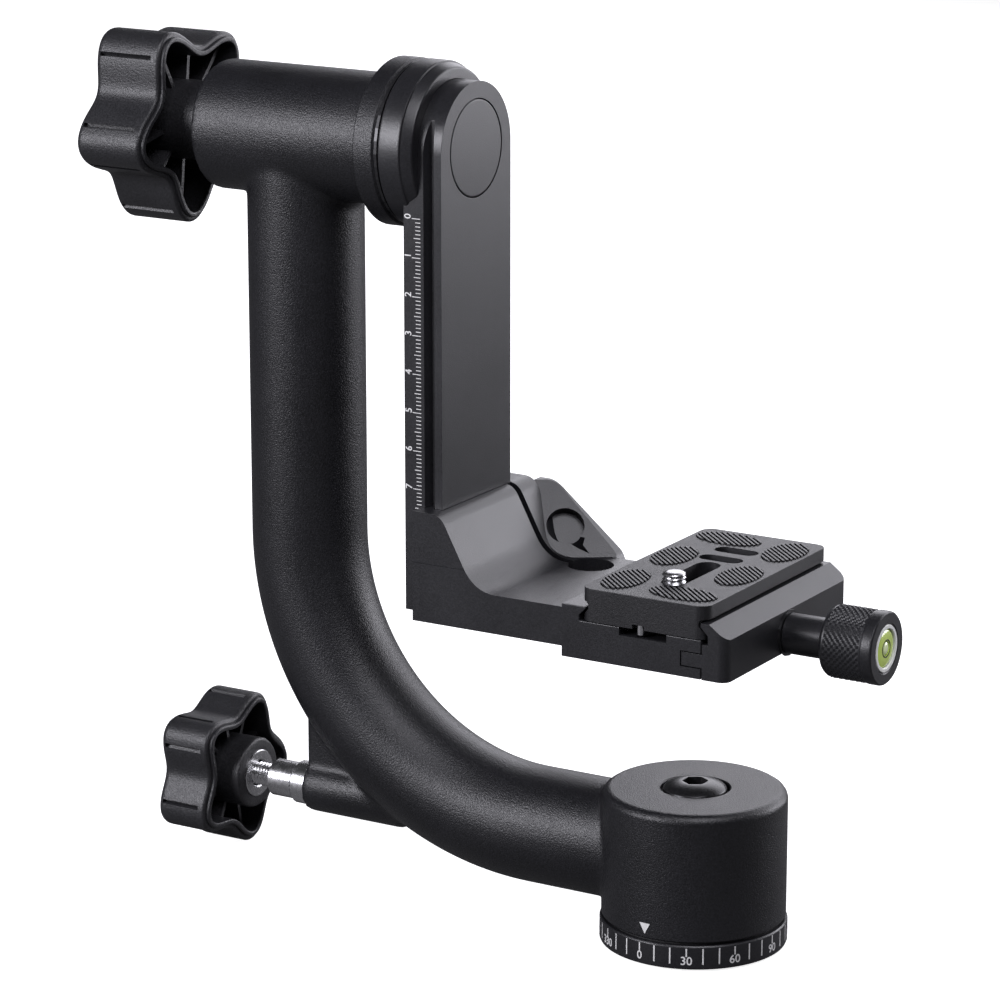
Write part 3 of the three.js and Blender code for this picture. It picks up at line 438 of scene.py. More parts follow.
# Swing arm: one aluminium casting with a fine black powder coat. The tube is bent to a J,
# its foot runs into the round housing of the panning base and its head into the top tube.
# The housing and the collar are turned, so they are drawn apart from the soft casting.
def pushed(name, points, step):
    """A flat outline of points, filled and extruded by one step."""
    draw(points)
    bpy.ops.mesh.select_all(action="SELECT")
    bpy.ops.mesh.edge_face_add()
    move = [v * MM for v in step]
    bpy.ops.mesh.extrude_region_move(TRANSFORM_OT_translate={"value": move})
    bpy.ops.mesh.select_all(action="SELECT")
    bpy.ops.mesh.normals_make_consistent(inside=False)
    bpy.ops.object.mode_set(mode="OBJECT")
    return named(name)


TURNS = {"X": (0, math.pi / 2, 0), "Y": (math.pi / 2, 0, 0), "Z": (0, 0, 0)}


def round_bar(name, axis, radius, start, end, centre, steps=64):
    deselect()
    place = Vector(centre)
    place["XYZ".index(axis)] = (start + end) / 2
    bpy.ops.mesh.primitive_cylinder_add(
        vertices=steps, radius=radius * MM, depth=(end - start) * MM,
        location=place * MM, rotation=TURNS[axis])
    return named(name)


def combine(piece, *tools, operation="DIFFERENCE"):
    for tool in tools:
        apply_modifier(piece, "BOOLEAN", object=tool, operation=operation, solver="EXACT")
        bpy.data.objects.remove(tool, do_unlink=True)
    return piece


def soften(piece, width, segments=3, angle=30):
    """Rounds every edge that turns by more than the angle."""
    apply_modifier(piece, "BEVEL", width=width * MM, segments=segments,
                   limit_method="ANGLE", angle_limit=math.radians(angle),
                   use_clamp_overlap=True, miter_outer="MITER_ARC")


powder_black = finish_material(
    "powder_black", (0.003, 0.003, 0.0035), (0.015, 0.015, 0.018), (0.29, 0.48),
    grain=2500, patch=45, bump=0.13)

ARM_X, ARM_RADIUS = -116.5, 15.3
BEND_TOP, BEND_X, RUN_END = 92.8, -46.0, -8.0
TILT_HEIGHT, LOCK_HEIGHT = 198.8, 21.0
TOP_TUBE_RADIUS, TOP_TUBE_START, TOP_TUBE_END = 17.0, -141.0, -84.0
BOSS_RADIUS, BOSS_START, BOSS_END, WEB_HALF, WEB_RISE = 7.0, -116.0, -86.0, 3.5, 22
AXLE_BORE, BUSH_SEAT, ROD_BORE, HOUSING_RADIUS = 7.2, 9.0, 3.5, 23.7
ARM_BODY, CAST = "arm", "cast_aluminium_black"

deselect()
bpy.ops.mesh.primitive_circle_add(
    vertices=96, radius=ARM_RADIUS * MM, fill_type="NGON",
    location=(ARM_X * MM, 0, TILT_HEIGHT * MM))
bpy.ops.object.mode_set(mode="EDIT")
bpy.ops.mesh.select_all(action="SELECT")
down = (0, 0, (BEND_TOP - TILT_HEIGHT) * MM)
bpy.ops.mesh.extrude_region_move(TRANSFORM_OT_translate={"value": down})
bpy.ops.mesh.spin(steps=48, angle=math.pi / 2, axis=(0, 1, 0),
                  center=(BEND_X * MM, 0, BEND_TOP * MM))
out = ((RUN_END - BEND_X) * MM, 0, 0)
bpy.ops.mesh.extrude_region_move(TRANSFORM_OT_translate={"value": out})
bpy.ops.mesh.select_all(action="SELECT")
bpy.ops.mesh.remove_doubles(threshold=SAME_POINT)
bpy.ops.mesh.normals_make_consistent(inside=False)
bpy.ops.object.mode_set(mode="OBJECT")
arm_casting = named("arm_casting")
on_tilt, on_lock = (0, 0, TILT_HEIGHT), (0, 0, LOCK_HEIGHT)
combine(
    arm_casting,
    round_bar("top_tube", "X", TOP_TUBE_RADIUS, TOP_TUBE_START, TOP_TUBE_END, on_tilt, 96),
    round_bar("lock_boss", "X", BOSS_RADIUS, BOSS_START, BOSS_END, on_lock),
    pushed("lock_web", [(x, -WEB_HALF, LOCK_HEIGHT + rise) for x, rise in
                        ((BOSS_START, 0), (-80, 0), (-95, WEB_RISE), (BOSS_START, WEB_RISE))],
           (0, 2 * WEB_HALF, 0)),
    round_bar("housing_core", "Z", 23.5, 8.0, 39.4, (0, 0, 0), 128),
    operation="UNION")
combine(
    arm_casting,
    round_bar("spindle_room", "Z", 12.3, 5.0, 45.0, (0, 0, 0), 96),
    round_bar("axle_bore", "X", AXLE_BORE, TOP_TUBE_START - 2, TOP_TUBE_END + 4, on_tilt),
    round_bar("rear_seat", "X", BUSH_SEAT, TOP_TUBE_START - 2, -131.0, on_tilt),
    round_bar("front_seat", "X", BUSH_SEAT, -92.1, TOP_TUBE_END + 4, on_tilt),
    round_bar("sleeve_seat", "X", 4.75, BOSS_START - 2, -106.0, on_lock),
    round_bar("rod_bore", "X", ROD_BORE, -110.0, -10.0, on_lock))
apply_modifier(arm_casting, "REMESH", mode="VOXEL", voxel_size=0.8 * MM)
apply_modifier(arm_casting, "SMOOTH", factor=0.5, iterations=8)
dress(arm_casting, ARM_BODY, CAST, powder_black, "swing_arm", angle=60)

arm_housing = spun("arm_housing", [
    (4.3, 33.8), (4.3, 38.7), (8.9, 38.7), (8.9, 40.1), (9.25, 40.4), (21.3, 40.4),
    (22.2, 40.22), (22.95, 39.72), (23.45, 38.98), (HOUSING_RADIUS, 38.1),
    (HOUSING_RADIUS, 7.35), (23.4, 7.0), (15.6, 7.0), (15.6, 8.6), (12.0, 8.6),
    (12.0, 33.8)], "Z", steps=128)
combine(arm_housing, round_bar("rod_way", "X", ROD_BORE, -26.0, -5.0, on_lock))
dress(arm_housing, ARM_BODY, CAST, powder_black, "swing_arm")

arm_collar = spun("arm_collar", [
    (16.6, -89.6), (17.4, -89.3), (18.2, -88.5), (18.6, -88.2), (21.2, -88.2), (21.6, -87.8),
    (21.6, -83.0), (21.5, -82.6), (20.9, -82.1), (9.0, -82.1), (9.0, -86.0), (16.6, -86.0)],
    "X", on_tilt, 128)
dress(arm_collar, ARM_BODY, CAST, powder_black, "swing_arm")

# Pan bolt: a black oxide button head screw with a hexagon socket. It holds the arm down on
# the spindle, and its head lies in the recess on top of the housing.
black_oxide = finish_material(
    "black_oxide", (0.012, 0.012, 0.013), (0.03, 0.03, 0.032), (0.26, 0.36),
    grain=1800, patch=110, bump=0.01, metallic=0.4)


def hexagon(name, axis, corner, start, end, centre):
    return round_bar(name, axis, corner, start, end, centre, 6)


pan_bolt = spun("pan_bolt_head", [
    (0, 18.0), (3.6, 18.0), (4.0, 18.4), (4.0, 39.2), (8.0, 39.2), (8.2, 39.35), (8.2, 40.0),
    (7.95, 40.45), (7.3, 41.0), (6.4, 41.45), (5.3, 41.8), (4.2, 42.02), (3.5, 42.1),
    (0, 42.1)], "Z", steps=72, closed=False)
combine(pan_bolt, hexagon("bolt_hex", "Z", 3.3, 39.9, 44.0, (0, 0, 0)))
soften(pan_bolt, 0.12, 2)
dress(pan_bolt, "base", "black_steel", black_oxide, "pan_bolt")


# Pointer: a small triangle printed in white ink on the near side of the housing, with its tip
# down over the degree scale. It turns with the arm and shows the angle of the pan.
POINTER_BEARING, POINTER_TOP, POINTER_TIP, POINTER_HALF = 177, 11.0, 8.2, 1.5
pointer_seat = HOUSING_RADIUS - 0.2
pointer = pushed("pan_pointer", [
    (-POINTER_HALF, pointer_seat, POINTER_TOP), (POINTER_HALF, pointer_seat, POINTER_TOP),
    (0, pointer_seat, POINTER_TIP)], (0, 0.27, 0))
pointer.data.transform(Matrix.Rotation(math.radians(POINTER_BEARING), 4, "Z"))
dress(pointer, ARM_BODY, "white_plastic", white_ink)

# Bushes of the tilt axle: sintered bronze, pressed into both ends of the top tube. The brake
# tip of the pan lock is turned from the same bronze.
sintered_bronze = finish_material(
    "sintered_bronze", (0.16, 0.09, 0.035), (0.30, 0.18, 0.07), (0.34, 0.48),
    grain=1300, patch=80, bump=0.03, metallic=0.9)
refinish(sintered_bronze, "tilt_bush_front", "tilt_bush_rear", "pan_brake_tip")

# Lock sleeve: a nickel plated bush screwed into the lock boss, with a grip groove and a
# thin collar against the arm. The lock rod turns inside it.
bright_nickel = finish_material(
    "bright_nickel", (0.62, 0.62, 0.63), (0.78, 0.78, 0.79), (0.2, 0.32),
    grain=900, patch=70, bump=0.006, metallic=1.0)
lock_sleeve = spun("lock_sleeve_turned", [
    (3.6, -128.3), (4.7, -128.3), (5.0, -128.0), (5.0, -121.2), (4.7, -121.0),
    (4.7, -120.7), (5.3, -120.6), (5.8, -120.2), (5.8, -116.3), (5.5, -116.0), (4.6, -116.0),
    (4.6, -106.0), (3.5, -106.0)], "X", on_lock, 72)
dress(lock_sleeve, ARM_BODY, "bright_nickel", bright_nickel, "lock_sleeve")


# Pan lock knob: a moulded star of five lobes with a hollow towards the arm, ten ribs in the
# hollow and a fine line along both flanks of each lobe. A nickel plated insert in its hub
# holds the threaded rod.
LOBES = 5


def star_outline(place, height, crest, valley, turn, points=150):
    outline = []
    for step in range(points):
        angle = 2 * math.pi * step / points
        lobe = math.cos(LOBES * (angle - math.radians(turn)))
        radius = (crest + valley) / 2 + (crest - valley) / 2 * lobe
        outline.append((place, radius * math.cos(angle), height + radius * math.sin(angle)))
    return outline


def choose(piece, mode, test):
    """Goes into edit mode with the faces or edges that pass the test selected."""
    activate(piece)
    for part in (*piece.data.vertices, *piece.data.edges, *piece.data.polygons):
        part.select = False
    bpy.ops.object.mode_set(mode="EDIT")
    bpy.ops.mesh.select_mode(type=mode)
    form = bmesh.from_edit_mesh(piece.data)
    for part in (form.faces if mode == "FACE" else form.edges):
        if test(part):
            part.select_set(True)
    form.select_flush_mode()
    bmesh.update_edit_mesh(piece.data)


def edge_at(place, slack=0.05):
    """Edges that lie across X at a place."""
    return lambda edge: all(abs(v.co.x / MM - place) < slack for v in edge.verts)


def star_knob(name, height, crest, valley, turn, back, rim, floor, hub, hub_end, bore, line):
    """The back and the rim are places along X, and the hollow's floor is back + floor."""
    outline = star_outline(back, height, crest, valley, turn)
    lip, middle = 0.9, (0, 0, height)
    shoulder = rim - lip
    foot, wall, rib_half, line_half = back + floor - 0.5, 1.6, 0.55, 0.5
    between, flank_bearing = 360 // LOBES, 13
    knob = pushed(name, outline, (shoulder - back, 0, 0))
    choose(knob, "FACE", lambda face: face.normal.x > 0.9 and len(face.verts) > 4)
    for inset, push in ((1.3, lip), (1.4, back + floor - rim)):
        bpy.ops.mesh.inset(thickness=inset * MM)
        bpy.ops.mesh.extrude_region_move(TRANSFORM_OT_translate={"value": (push * MM, 0, 0)})
    bpy.ops.object.mode_set(mode="OBJECT")
    for place, offset, segments in ((back, 2.4, 6), (shoulder, lip, 4), (rim, 0.4, 3)):
        choose(knob, "EDGE", lambda edge: edge_at(place)(edge) and edge.is_convex
               and edge.calc_face_angle(0) > 1)
        bpy.ops.mesh.bevel(offset=offset * MM, segments=segments, affect="EDGES",
                           clamp_overlap=False)
        bpy.ops.object.mode_set(mode="OBJECT")
    activate(knob)
    bpy.ops.object.mode_set(mode="EDIT")
    bpy.ops.mesh.select_all(action="SELECT")
    bpy.ops.mesh.normals_make_consistent(inside=False)
    bpy.ops.object.mode_set(mode="OBJECT")
    ribs = []
    for bearing in (0, between // 2):
        straight = block("rib", (foot, 0, height - rib_half),
                         (rim - 4.4, crest, height + rib_half))
        rib = turned_copy(straight, "rib", "X", turn + bearing, middle)
        bpy.data.objects.remove(straight, do_unlink=True)
        hollow = star_outline(foot, height, crest - wall, valley - wall, turn)
        combine(rib, pushed("inside", hollow, (rim - back, 0, 0)), operation="INTERSECT")
        ribs += [rib, *[turned_copy(rib, "rib", "X", between * i, middle)
                        for i in range(1, LOBES)]]
    post = spun("hub", [(bore, foot), (bore, hub_end), (hub - 0.9, hub_end),
                        (hub - 0.3, hub_end - 0.3), (hub, hub_end - 0.9), (hub, foot)],
                "X", middle, 72)
    combine(knob, *ribs, post, operation="UNION")
    flank = (crest + valley) / 2 + (crest - valley) * 0.21
    slot = block("flank_line", (back + 1.8, flank - 1.25, height - line_half),
                 (back + line, crest + 2, height + line_half))
    lines = [turned_copy(slot, "flank_line", "X", turn + side + between * i, middle)
             for i in range(LOBES) for side in (-flank_bearing, flank_bearing)]
    bpy.data.objects.remove(slot, do_unlink=True)
    return combine(knob, *lines)


moulded_black = finish_material(
    "moulded_black", (0.008, 0.008, 0.009), (0.028, 0.028, 0.031), (0.30, 0.52),
    grain=2300, patch=60, bump=0.12)
pan_knob = star_knob("pan_lock_star", LOCK_HEIGHT, crest=21.5, valley=16.3, turn=65.7,
                     back=-154.6, rim=-138.3, floor=3.2, hub=9.6, hub_end=-134.4, bore=6.4,
                     line=13.4)
dress(pan_knob, "pan_knob", "black_moulded", moulded_black, "pan_lock_knob")

pan_insert = spun("pan_knob_bush", [
    (3.5, -151.4), (6.4, -151.4), (6.4, -134.1), (6.2, -133.9), (3.9, -133.9), (3.5, -134.2)],
    "X", on_lock, 72)
dress(pan_insert, "pan_knob", "bright_nickel", bright_nickel, "pan_knob_insert")
ROD_RADIUS = 3.2
lock_rod = spun("pan_lock_stud", [
    (0, -150.6), (ROD_RADIUS, -150.6), *stepped(ROD_RADIUS, -135.5, -127.0, 0.17),
    (ROD_RADIUS, -16.4), (2.8, -16.0), (0, -16.0)], "X", on_lock, 48, closed=False)
thread(lock_rod, "X", on_lock, low=-135.6, high=-126.9, radius=ROD_RADIUS, depth=-0.5,
       pitch=1.0)
dress(lock_rod, "pan_knob", "bright_nickel", bright_nickel, "pan_lock_rod")

# Tilt lock knob: the same moulded star, larger, on the outer end of the tilt axle. It turns
# on a steel nut and presses a steel washer against the top tube, which pulls the flange at
# the other end onto the black friction washer.
tilt_knob = star_knob("tilt_lock_star", TILT_HEIGHT, crest=27.0, valley=19.4, turn=47.5,
                      back=-171.0, rim=-149.8, floor=3.2, hub=10.5, hub_end=-142.4, bore=8.4,
                      line=18.0)
dress(tilt_knob, "tilt_knob", "black_moulded", moulded_black, "tilt_lock_knob")
refinish(turned_steel, "tilt_knob_nut", "tilt_thrust_washer")
refinish(black_oxide, "tilt_friction_washer")

# Tilt flange: a turned aluminium disc, anodised black, that turns with the rail. Its rim
# band falls away to a cone, and a flat seat across it takes the rounded head of the rail.
def rail_outline(half, bottom, place, steps=48):
    arc = [(place, half * math.cos(math.pi * i / steps),
            TILT_HEIGHT + half * math.sin(math.pi * i / steps)) for i in range(steps + 1)]
    return [(place, half, bottom), *arc, (place, -half, bottom)]


tilt_flange = spun("tilt_flange_turned", [
    (6.15, -81.0), (20.7, -81.0), (21.3, -80.6), (21.5, -80.0), (21.5, -74.9),
    (21.35, -74.5), (21.0, -74.3), (20.1, -71.9), (19.8, -71.6), (19.4, -71.5),
    (6.15, -71.5)], "X", on_tilt, 128)
RAIL_HALF, RAIL_BACK, RAIL_PLAY = 17.0, -75.9, 0.15
rail_seat = rail_outline(RAIL_HALF + RAIL_PLAY, 170.0, RAIL_BACK)
combine(tilt_flange, pushed("rail_seat", rail_seat, (8, 0, 0)))
dress(tilt_flange, "tilt", "black_anodised", anodised_black, "tilt_flange")

# Rail: an extruded aluminium bar with a V groove down each side, its head rounded about the
# tilt axis. The bracket slides on it, and the axle's head sits in it under a turned cap that
# is pressed in flush.
RAIL_FOOT, RAIL_DEPTH = 80.4, 11.15
tilt_rail = pushed("tilt_rail_bar", rail_outline(RAIL_HALF, RAIL_FOOT, RAIL_BACK),
                   (RAIL_DEPTH, 0, 0))
for side in (1, -1):
    groove = [(-69.95, side * RAIL_HALF), (-68.9, side * 14.6), (-67.9, side * 14.6),
              (-66.9, side * RAIL_HALF), (-66.9, side * 20), (-69.95, side * 20)]
    combine(tilt_rail, pushed("rail_groove", [(x, y, 60) for x, y in groove],
                              (0, 0, 180)))
combine(tilt_rail, round_bar("cap_seat", "X", 12.65, -66.55, -60, on_tilt, 96),
        round_bar("head_seat", "X", 10.15, -72.2, -60, on_tilt),
        round_bar("axle_way", "X", 6.15, -80, -60, on_tilt))
soften(tilt_rail, 0.3, 2)
dress(tilt_rail, "tilt", "black_anodised", anodised_black, "tilt_rail")
refinish(turned_steel, "tilt_axle")

rail_cap = spun("rail_cap_turned", [
    (0, -66.55), (12.3, -66.55), (12.5, -66.35), (12.5, -65.1), (12.3, -64.85),
    (12.0, -64.75), (0, -64.75)], "X", on_tilt, 96, closed=False)
dress(rail_cap, "tilt", "black_anodised", anodised_black, "rail_cap")

# Rail scale: a line for every millimetre, a longer one at every fifth and a number at every
# tenth, printed in white ink down the near side of the rail from its zero.
SCALE_ZERO, SCALE_END, SCALE_EDGE, LINE_HALF = 182.7, 75, -70.9, 0.1
lines = []
for step in range(SCALE_END + 1):
    length = 2.5 if step % 10 == 0 else 1.95 if step % 5 == 0 else 1.45
    height = SCALE_ZERO - step
    lines.append(block("line", (SCALE_EDGE - length, -RAIL_HALF - 0.03, height - LINE_HALF),
                       (SCALE_EDGE, -RAIL_HALF + 0.1, height + LINE_HALF)))
dress(joined("rail_scale_lines", lines), "tilt", "white_plastic", white_ink)
figures = []
for step in range(SCALE_END // 10 + 1):
    figure = printed("figure", step, 2.7)
    for vertex in figure.data.vertices:
        along, up, proud = vertex.co / MM
        vertex.co = Vector((-74.55 - up, -RAIL_HALF - 0.01 - proud,
                            SCALE_ZERO - 10 * step + 0.5 + along)) * MM
    figures.append(figure)
dress(joined("rail_scale_numbers", figures), "tilt", "white_plastic", white_ink)

# L bracket: one milled aluminium piece, anodised black. Its wall clasps the rail, a slit to
# a round relief hole lets the lug pinch it tight, and its platform carries the clamp. The
# lug's face leans back, with a shallow round pocket and a wedge-shaped recess below it.
def curve(start, corner, end, steps=8):
    """Points of a smooth bend between two straight runs."""
    points = []
    for step in range(steps + 1):
        t = step / steps
        points.append(tuple(a * (1 - t) ** 2 + 2 * b * t * (1 - t) + c * t * t
                            for a, b, c in zip(start, corner, end)))
    return points


NEAR, FAR = -21.7, 25.2
bracket_side = [
    (-70.9, 79.3), (-20.5, 79.3), (-20.5, 89.5),
    *curve((-46.2, 89.5), (-52.5, 89.5), (-55.7, 95.5)),
    *curve((-61.1, 105.6), (-62.5, 108.2), (-65.4, 108.2), 6), (-70.9, 108.2)]
l_bracket = pushed("l_bracket_milled", [(x, NEAR, z) for x, z in bracket_side],
                   (0, FAR - NEAR, 0))
lug_side = [
    (-63.0, 79.3), (-37.0, 79.3), *curve((-37.0, 86.6), (-37.0, 89.2), (-38.8, 90.9), 6),
    *curve((-54.9, 104.2), (-57.6, 106.7), (-60.0, 107.0), 6), (-63.0, 107.0)]
lug = pushed("lug", [(x, 17.2, z) for x, z in lug_side], (0, 12.3, 0))
activate(lug)
bpy.ops.object.mode_set(mode="EDIT")
bpy.ops.mesh.select_all(action="SELECT")
outward = Vector((0.4326, -0.6445, 0.6305))
bpy.ops.mesh.bisect(plane_co=Vector((-54.9, 28.7, 104.2)) * MM, plane_no=outward,
                    use_fill=True, clear_outer=True)
bpy.ops.mesh.select_all(action="SELECT")
bpy.ops.mesh.normals_make_consistent(inside=False)
bpy.ops.object.mode_set(mode="OBJECT")
POCKET = Vector((-51.8, 23.4, 96.6))
POCKET_RADIUS, POCKET_DEPTH, CUTTER = 5, 2.8, 8
deselect()
bpy.ops.mesh.primitive_cylinder_add(
    vertices=48, radius=POCKET_RADIUS * MM, depth=CUTTER * MM,
    rotation=outward.to_track_quat("Z", "Y").to_euler(),
    location=(POCKET + outward * (CUTTER / 2 - POCKET_DEPTH)) * MM)
wedge = [(-50.3, 21.0, 93.4), (-48.3, 23.41, 94.27), (-46.57, 24.34, 94.02),
         (-46.33, 22.88, 92.36), (-44.14, 22.49, 90.46), (-46.99, 21.68, 91.6)]
combine(lug, named("lug_pocket"),
        pushed("lug_wedge", [Vector(point) + outward * 0.2 for point in wedge],
               outward * -4.0 + Vector((3.0, 0, -2.5))))
combine(l_bracket, lug,
        block("tongue", (-22.0, -14.0, 79.3), (-7.5, 14.0, 84.3)), operation="UNION")
soften(l_bracket, 0.45, 3)
channel = [(-72, -17.3), (-69.65, -17.3), (-68.9, -14.9), (-67.9, -14.9), (-67.2, -17.3),
           (-64.45, -17.3), (-64.45, 17.3), (-67.2, 17.3), (-67.9, 14.9), (-68.9, 14.9),
           (-69.65, 17.3), (-72, 17.3)]
scribe = [(-22.0, 94.6), (-21.58, 94.85), (-22.0, 95.1)]
RELIEF_X = -39.8
on_height = (-54.5, 0, 86.2)
MOUNT_X, MOUNT_PLACES = -14.0, (-8.5, 8.5)
combine(
    l_bracket,
    pushed("rail_channel", [(x, y, 70) for x, y in channel], (0, 0, 50)),
    block("slit", (-65.5, 14.7, 70), (RELIEF_X, 17.0, 120)),
    round_bar("relief", "Z", 6.1, 70, 120, (RELIEF_X, 15.7, 0)),
    pushed("side_scribe", [(-72, y, z) for y, z in scribe], (17.2, 0, 0)),
    spun("height_bore", [(0, 3.7), (2.8, 3.7), (2.8, 25.0), (4.5, 25.0), (4.5, 31.0),
                         (0, 31.0)], "Y", on_height, 48, closed=False),
    *[spun("mount_bore", [(0, 78.0), (3.25, 78.0), (3.25, 81.1), (1.75, 81.1),
                          (1.75, 87.75), (0, 87.75)], "Z", (MOUNT_X, y, 0), 40, closed=False)
      for y in MOUNT_PLACES])
dress(l_bracket, "platform", "black_anodised", anodised_black, "l_bracket")

# Height lock screw: a black socket screw across the slit, which pinches the bracket on the
# rail when it is turned from the far side.
height_screw = spun("height_lock_socket", [
    (0, 4.0), (2.1, 4.0), (2.5, 4.5), (2.5, 25.05), (3.9, 25.05), (4.2, 25.3), (4.2, 28.7),
    (3.9, 29.2), (0, 29.2)], "Y", on_height, 48, closed=False)
combine(height_screw, hexagon("height_hex", "Y", 2.2, 27.0, 31.0, on_height))
dress(height_screw, "height_screw", "black_steel", black_oxide, "height_lock_screw")

# Clamp body: a milled aluminium block, anodised black, screwed to the bracket's platform. It
# has the fixed jaw on one side, a channel down its floor and a slot for the moving jaw.
HALF = 32.9
on_clamp, PIN_PLACES = (0, 0, 85.2), (-20, 20)
clamp_side = [
    (-20.5, 80.5), (18.5, 80.5), (18.5, 90.4), (-15.5, 90.4), (-15.5, 91.8), (-13.6, 93.7),
    (-13.6, 94.2), (-20.5, 94.2)]
clamp_body = pushed("clamp_body_milled", [(x, -HALF, z) for x, z in clamp_side],
                    (0, 2 * HALF, 0))
soften(clamp_body, 0.3, 2)
combine(
    clamp_body,
    block("floor_channel", (-4.2, -40, 88.4), (9.0, 40, 95)),
    block("tongue_seat", (-25, -14.3, 75), (-7.2, 14.3, 84.3)),
    block("jaw_slot", (12.8, -40, 83.2), (25, 40, 87.2)),
    round_bar("screw_way", "X", 2.8, -5, 25, on_clamp, 40),
    *[round_bar("pin_way", "X", 2.3, 1.7, 25, (0, y, on_clamp[2]), 32) for y in PIN_PLACES],
    *[round_bar("mount_way", "Z", 1.75, 75, 87.75, (MOUNT_X, y, 0), 32)
      for y in MOUNT_PLACES])
dress(clamp_body, "platform", "black_anodised", anodised_black, "clamp_body")

# Mount screws: two small black socket screws that come up through the platform's tongue
# and hold the clamp body on it.
mount_screw = spun("mount_screw_near", [
    (0, 79.45), (2.8, 79.45), (3.1, 79.75), (3.1, 81.1), (1.6, 81.1), (1.6, 87.3),
    (1.3, 87.6), (0, 87.6)], "Z", (MOUNT_X, MOUNT_PLACES[0], 0), 40, closed=False)
combine(mount_screw, hexagon("mount_hex", "Z", 1.45, 75, 80.7, (MOUNT_X, MOUNT_PLACES[0], 0)))
mount_twin = turned_copy(mount_screw, "mount_screw_far", "Z", 180, (MOUNT_X, 0, 0))
dress(mount_screw, "platform", "black_steel", black_oxide, "clamp_mount_screw_near")
dress(mount_twin, "platform", "black_steel", black_oxide, "clamp_mount_screw_far")

# Moving jaw: an aluminium bar with a broad chamfer, its outer corners rounded. Its tongue
# runs in the slot of the clamp body, and two steel pins keep it level.
jaw_side = [
    (18.8, 80.5), (25.6, 80.5), (25.6, 91.2), (20.7, 94.8), (18.4, 94.8), (18.4, 93.8),
    (20.4, 91.8), (20.4, 89.4), (18.8, 89.4), (18.8, 86.9), (13.2, 86.9), (13.2, 83.5),
    (18.8, 83.5)]
clamp_jaw = pushed("clamp_jaw_milled", [(x, -HALF, z) for x, z in jaw_side],
                   (0, 2 * HALF, 0))


def corner_points(x, y, radius, start, steps=8):
    """A quarter round in plan, from one bearing anticlockwise."""
    return [(x + radius * math.cos(math.radians(start + 90 * i / steps)),
             y + radius * math.sin(math.radians(start + 90 * i / steps)))
            for i in range(steps + 1)]


JAW_CORNER = 2.5
plan = [(10, -HALF), *corner_points(23.1, -HALF + JAW_CORNER, JAW_CORNER, -90),
        *corner_points(23.1, HALF - JAW_CORNER, JAW_CORNER, 0), (10, HALF)]
combine(clamp_jaw, pushed("jaw_plan", [(x, y, 70) for x, y in plan], (0, 0, 40)),
        operation="INTERSECT")
combine(clamp_jaw, round_bar("jaw_way", "X", 2.8, 10, 30, on_clamp, 40),
        *[round_bar("jaw_seat", "X", 2.15, 10, 24.15, (0, y, on_clamp[2]), 32)
          for y in PIN_PLACES])
soften(clamp_jaw, 0.3, 2)
dress(clamp_jaw, "jaw", "black_anodised", anodised_black, "clamp_jaw")
refinish(turned_steel, "jaw_guide_pin_near", "jaw_guide_pin_far", "clamp_screw")
refinish(black_oxide, "clamp_knob_washer")

# Clamp knob: turned aluminium with a diamond knurl between two plain bands, on a slim neck.
# The knurl is raised as points that alternate round and along the grip.
KNOB_HEIGHT, GRIP_RADIUS = on_clamp[2], 9.0
KNURL_START, KNURL_END, KNURL_ROWS, KNURL_STEPS = 38.9, 49.4, 28, 144
KNURL_RISE, KNURL_DEPTH = 0.04, 0.26
grip = [(GRIP_RADIUS, KNURL_START + (KNURL_END - KNURL_START) * i / KNURL_ROWS)
        for i in range(KNURL_ROWS + 1)]
clamp_knob = spun("clamp_knob_turned", [
    (2.65, 26.2), (5.0, 26.2), (5.15, 26.4), (5.15, 37.0), (5.5, 37.5), (6.2, 37.7),
    (7.7, 37.7), (8.5, 38.2), *grip, (9.1, 49.55), (9.3, 49.8), (9.3, 51.9), (9.2, 52.3),
    (8.9, 52.6), (6.45, 52.6), (6.15, 52.3), (6.15, 48.4), (2.65, 48.4)],
    "X", on_clamp, KNURL_STEPS)
for vertex in clamp_knob.data.vertices:
    x, y, z = vertex.co / MM
    row = round((x - KNURL_START) * KNURL_ROWS / (KNURL_END - KNURL_START))
    around = math.hypot(y, z - KNOB_HEIGHT)
    if abs(around - GRIP_RADIUS) > 0.05 or not 0 < row < KNURL_ROWS:
        continue
    step = round(math.atan2(z - KNOB_HEIGHT, y) * KNURL_STEPS / (2 * math.pi))
    relief = KNURL_DEPTH * math.cos(math.pi * row / 2) * math.cos(math.pi * step / 2)
    scale = (GRIP_RADIUS + KNURL_RISE + relief) / around
    vertex.co = Vector((x, y * scale, KNOB_HEIGHT + (z - KNOB_HEIGHT) * scale)) * MM
dress(clamp_knob, "clamp_knob", "black_anodised", anodised_black, "clamp_knob", angle=20)

# Bubble level: a white plastic cup pressed into the end of the knob, filled with lime green
# fluid under a clear cap, with one bubble and a black ring printed round its middle.
white_cup = finish_material(
    "white_cup", (0.72, 0.73, 0.70), (0.85, 0.86, 0.83), (0.25, 0.35),
    grain=600, patch=60, bump=0.004)
level_cup = spun("level_cup", [
    (0, 48.4), (6.0, 48.4), (6.0, 52.4), (5.85, 52.6), (5.1, 52.6), (4.9, 52.4),
    (4.9, 49.5), (0, 49.5)], "X", on_clamp, 72, closed=False)
dress(level_cup, "clamp_knob", "white_plastic", white_cup, "level_ring")
green_fluid = finish_material(
    "green_fluid", (0.50, 0.68, 0.09), (0.68, 0.84, 0.2), (0.04, 0.09),
    grain=120, patch=40, bump=0.0, coat=1.0)
level_vial = spun("level_fluid", [
    (0, 49.5), (4.75, 49.5), (4.75, 52.0), (4.4, 52.25), (3.4, 52.4), (2.2, 52.45),
    (1.85, 52.45), (1.85, 51.6), (0, 51.6)], "X", on_clamp, 72, closed=False)
dress(level_vial, "clamp_knob", "level_fluid_green", green_fluid, "level_vial")
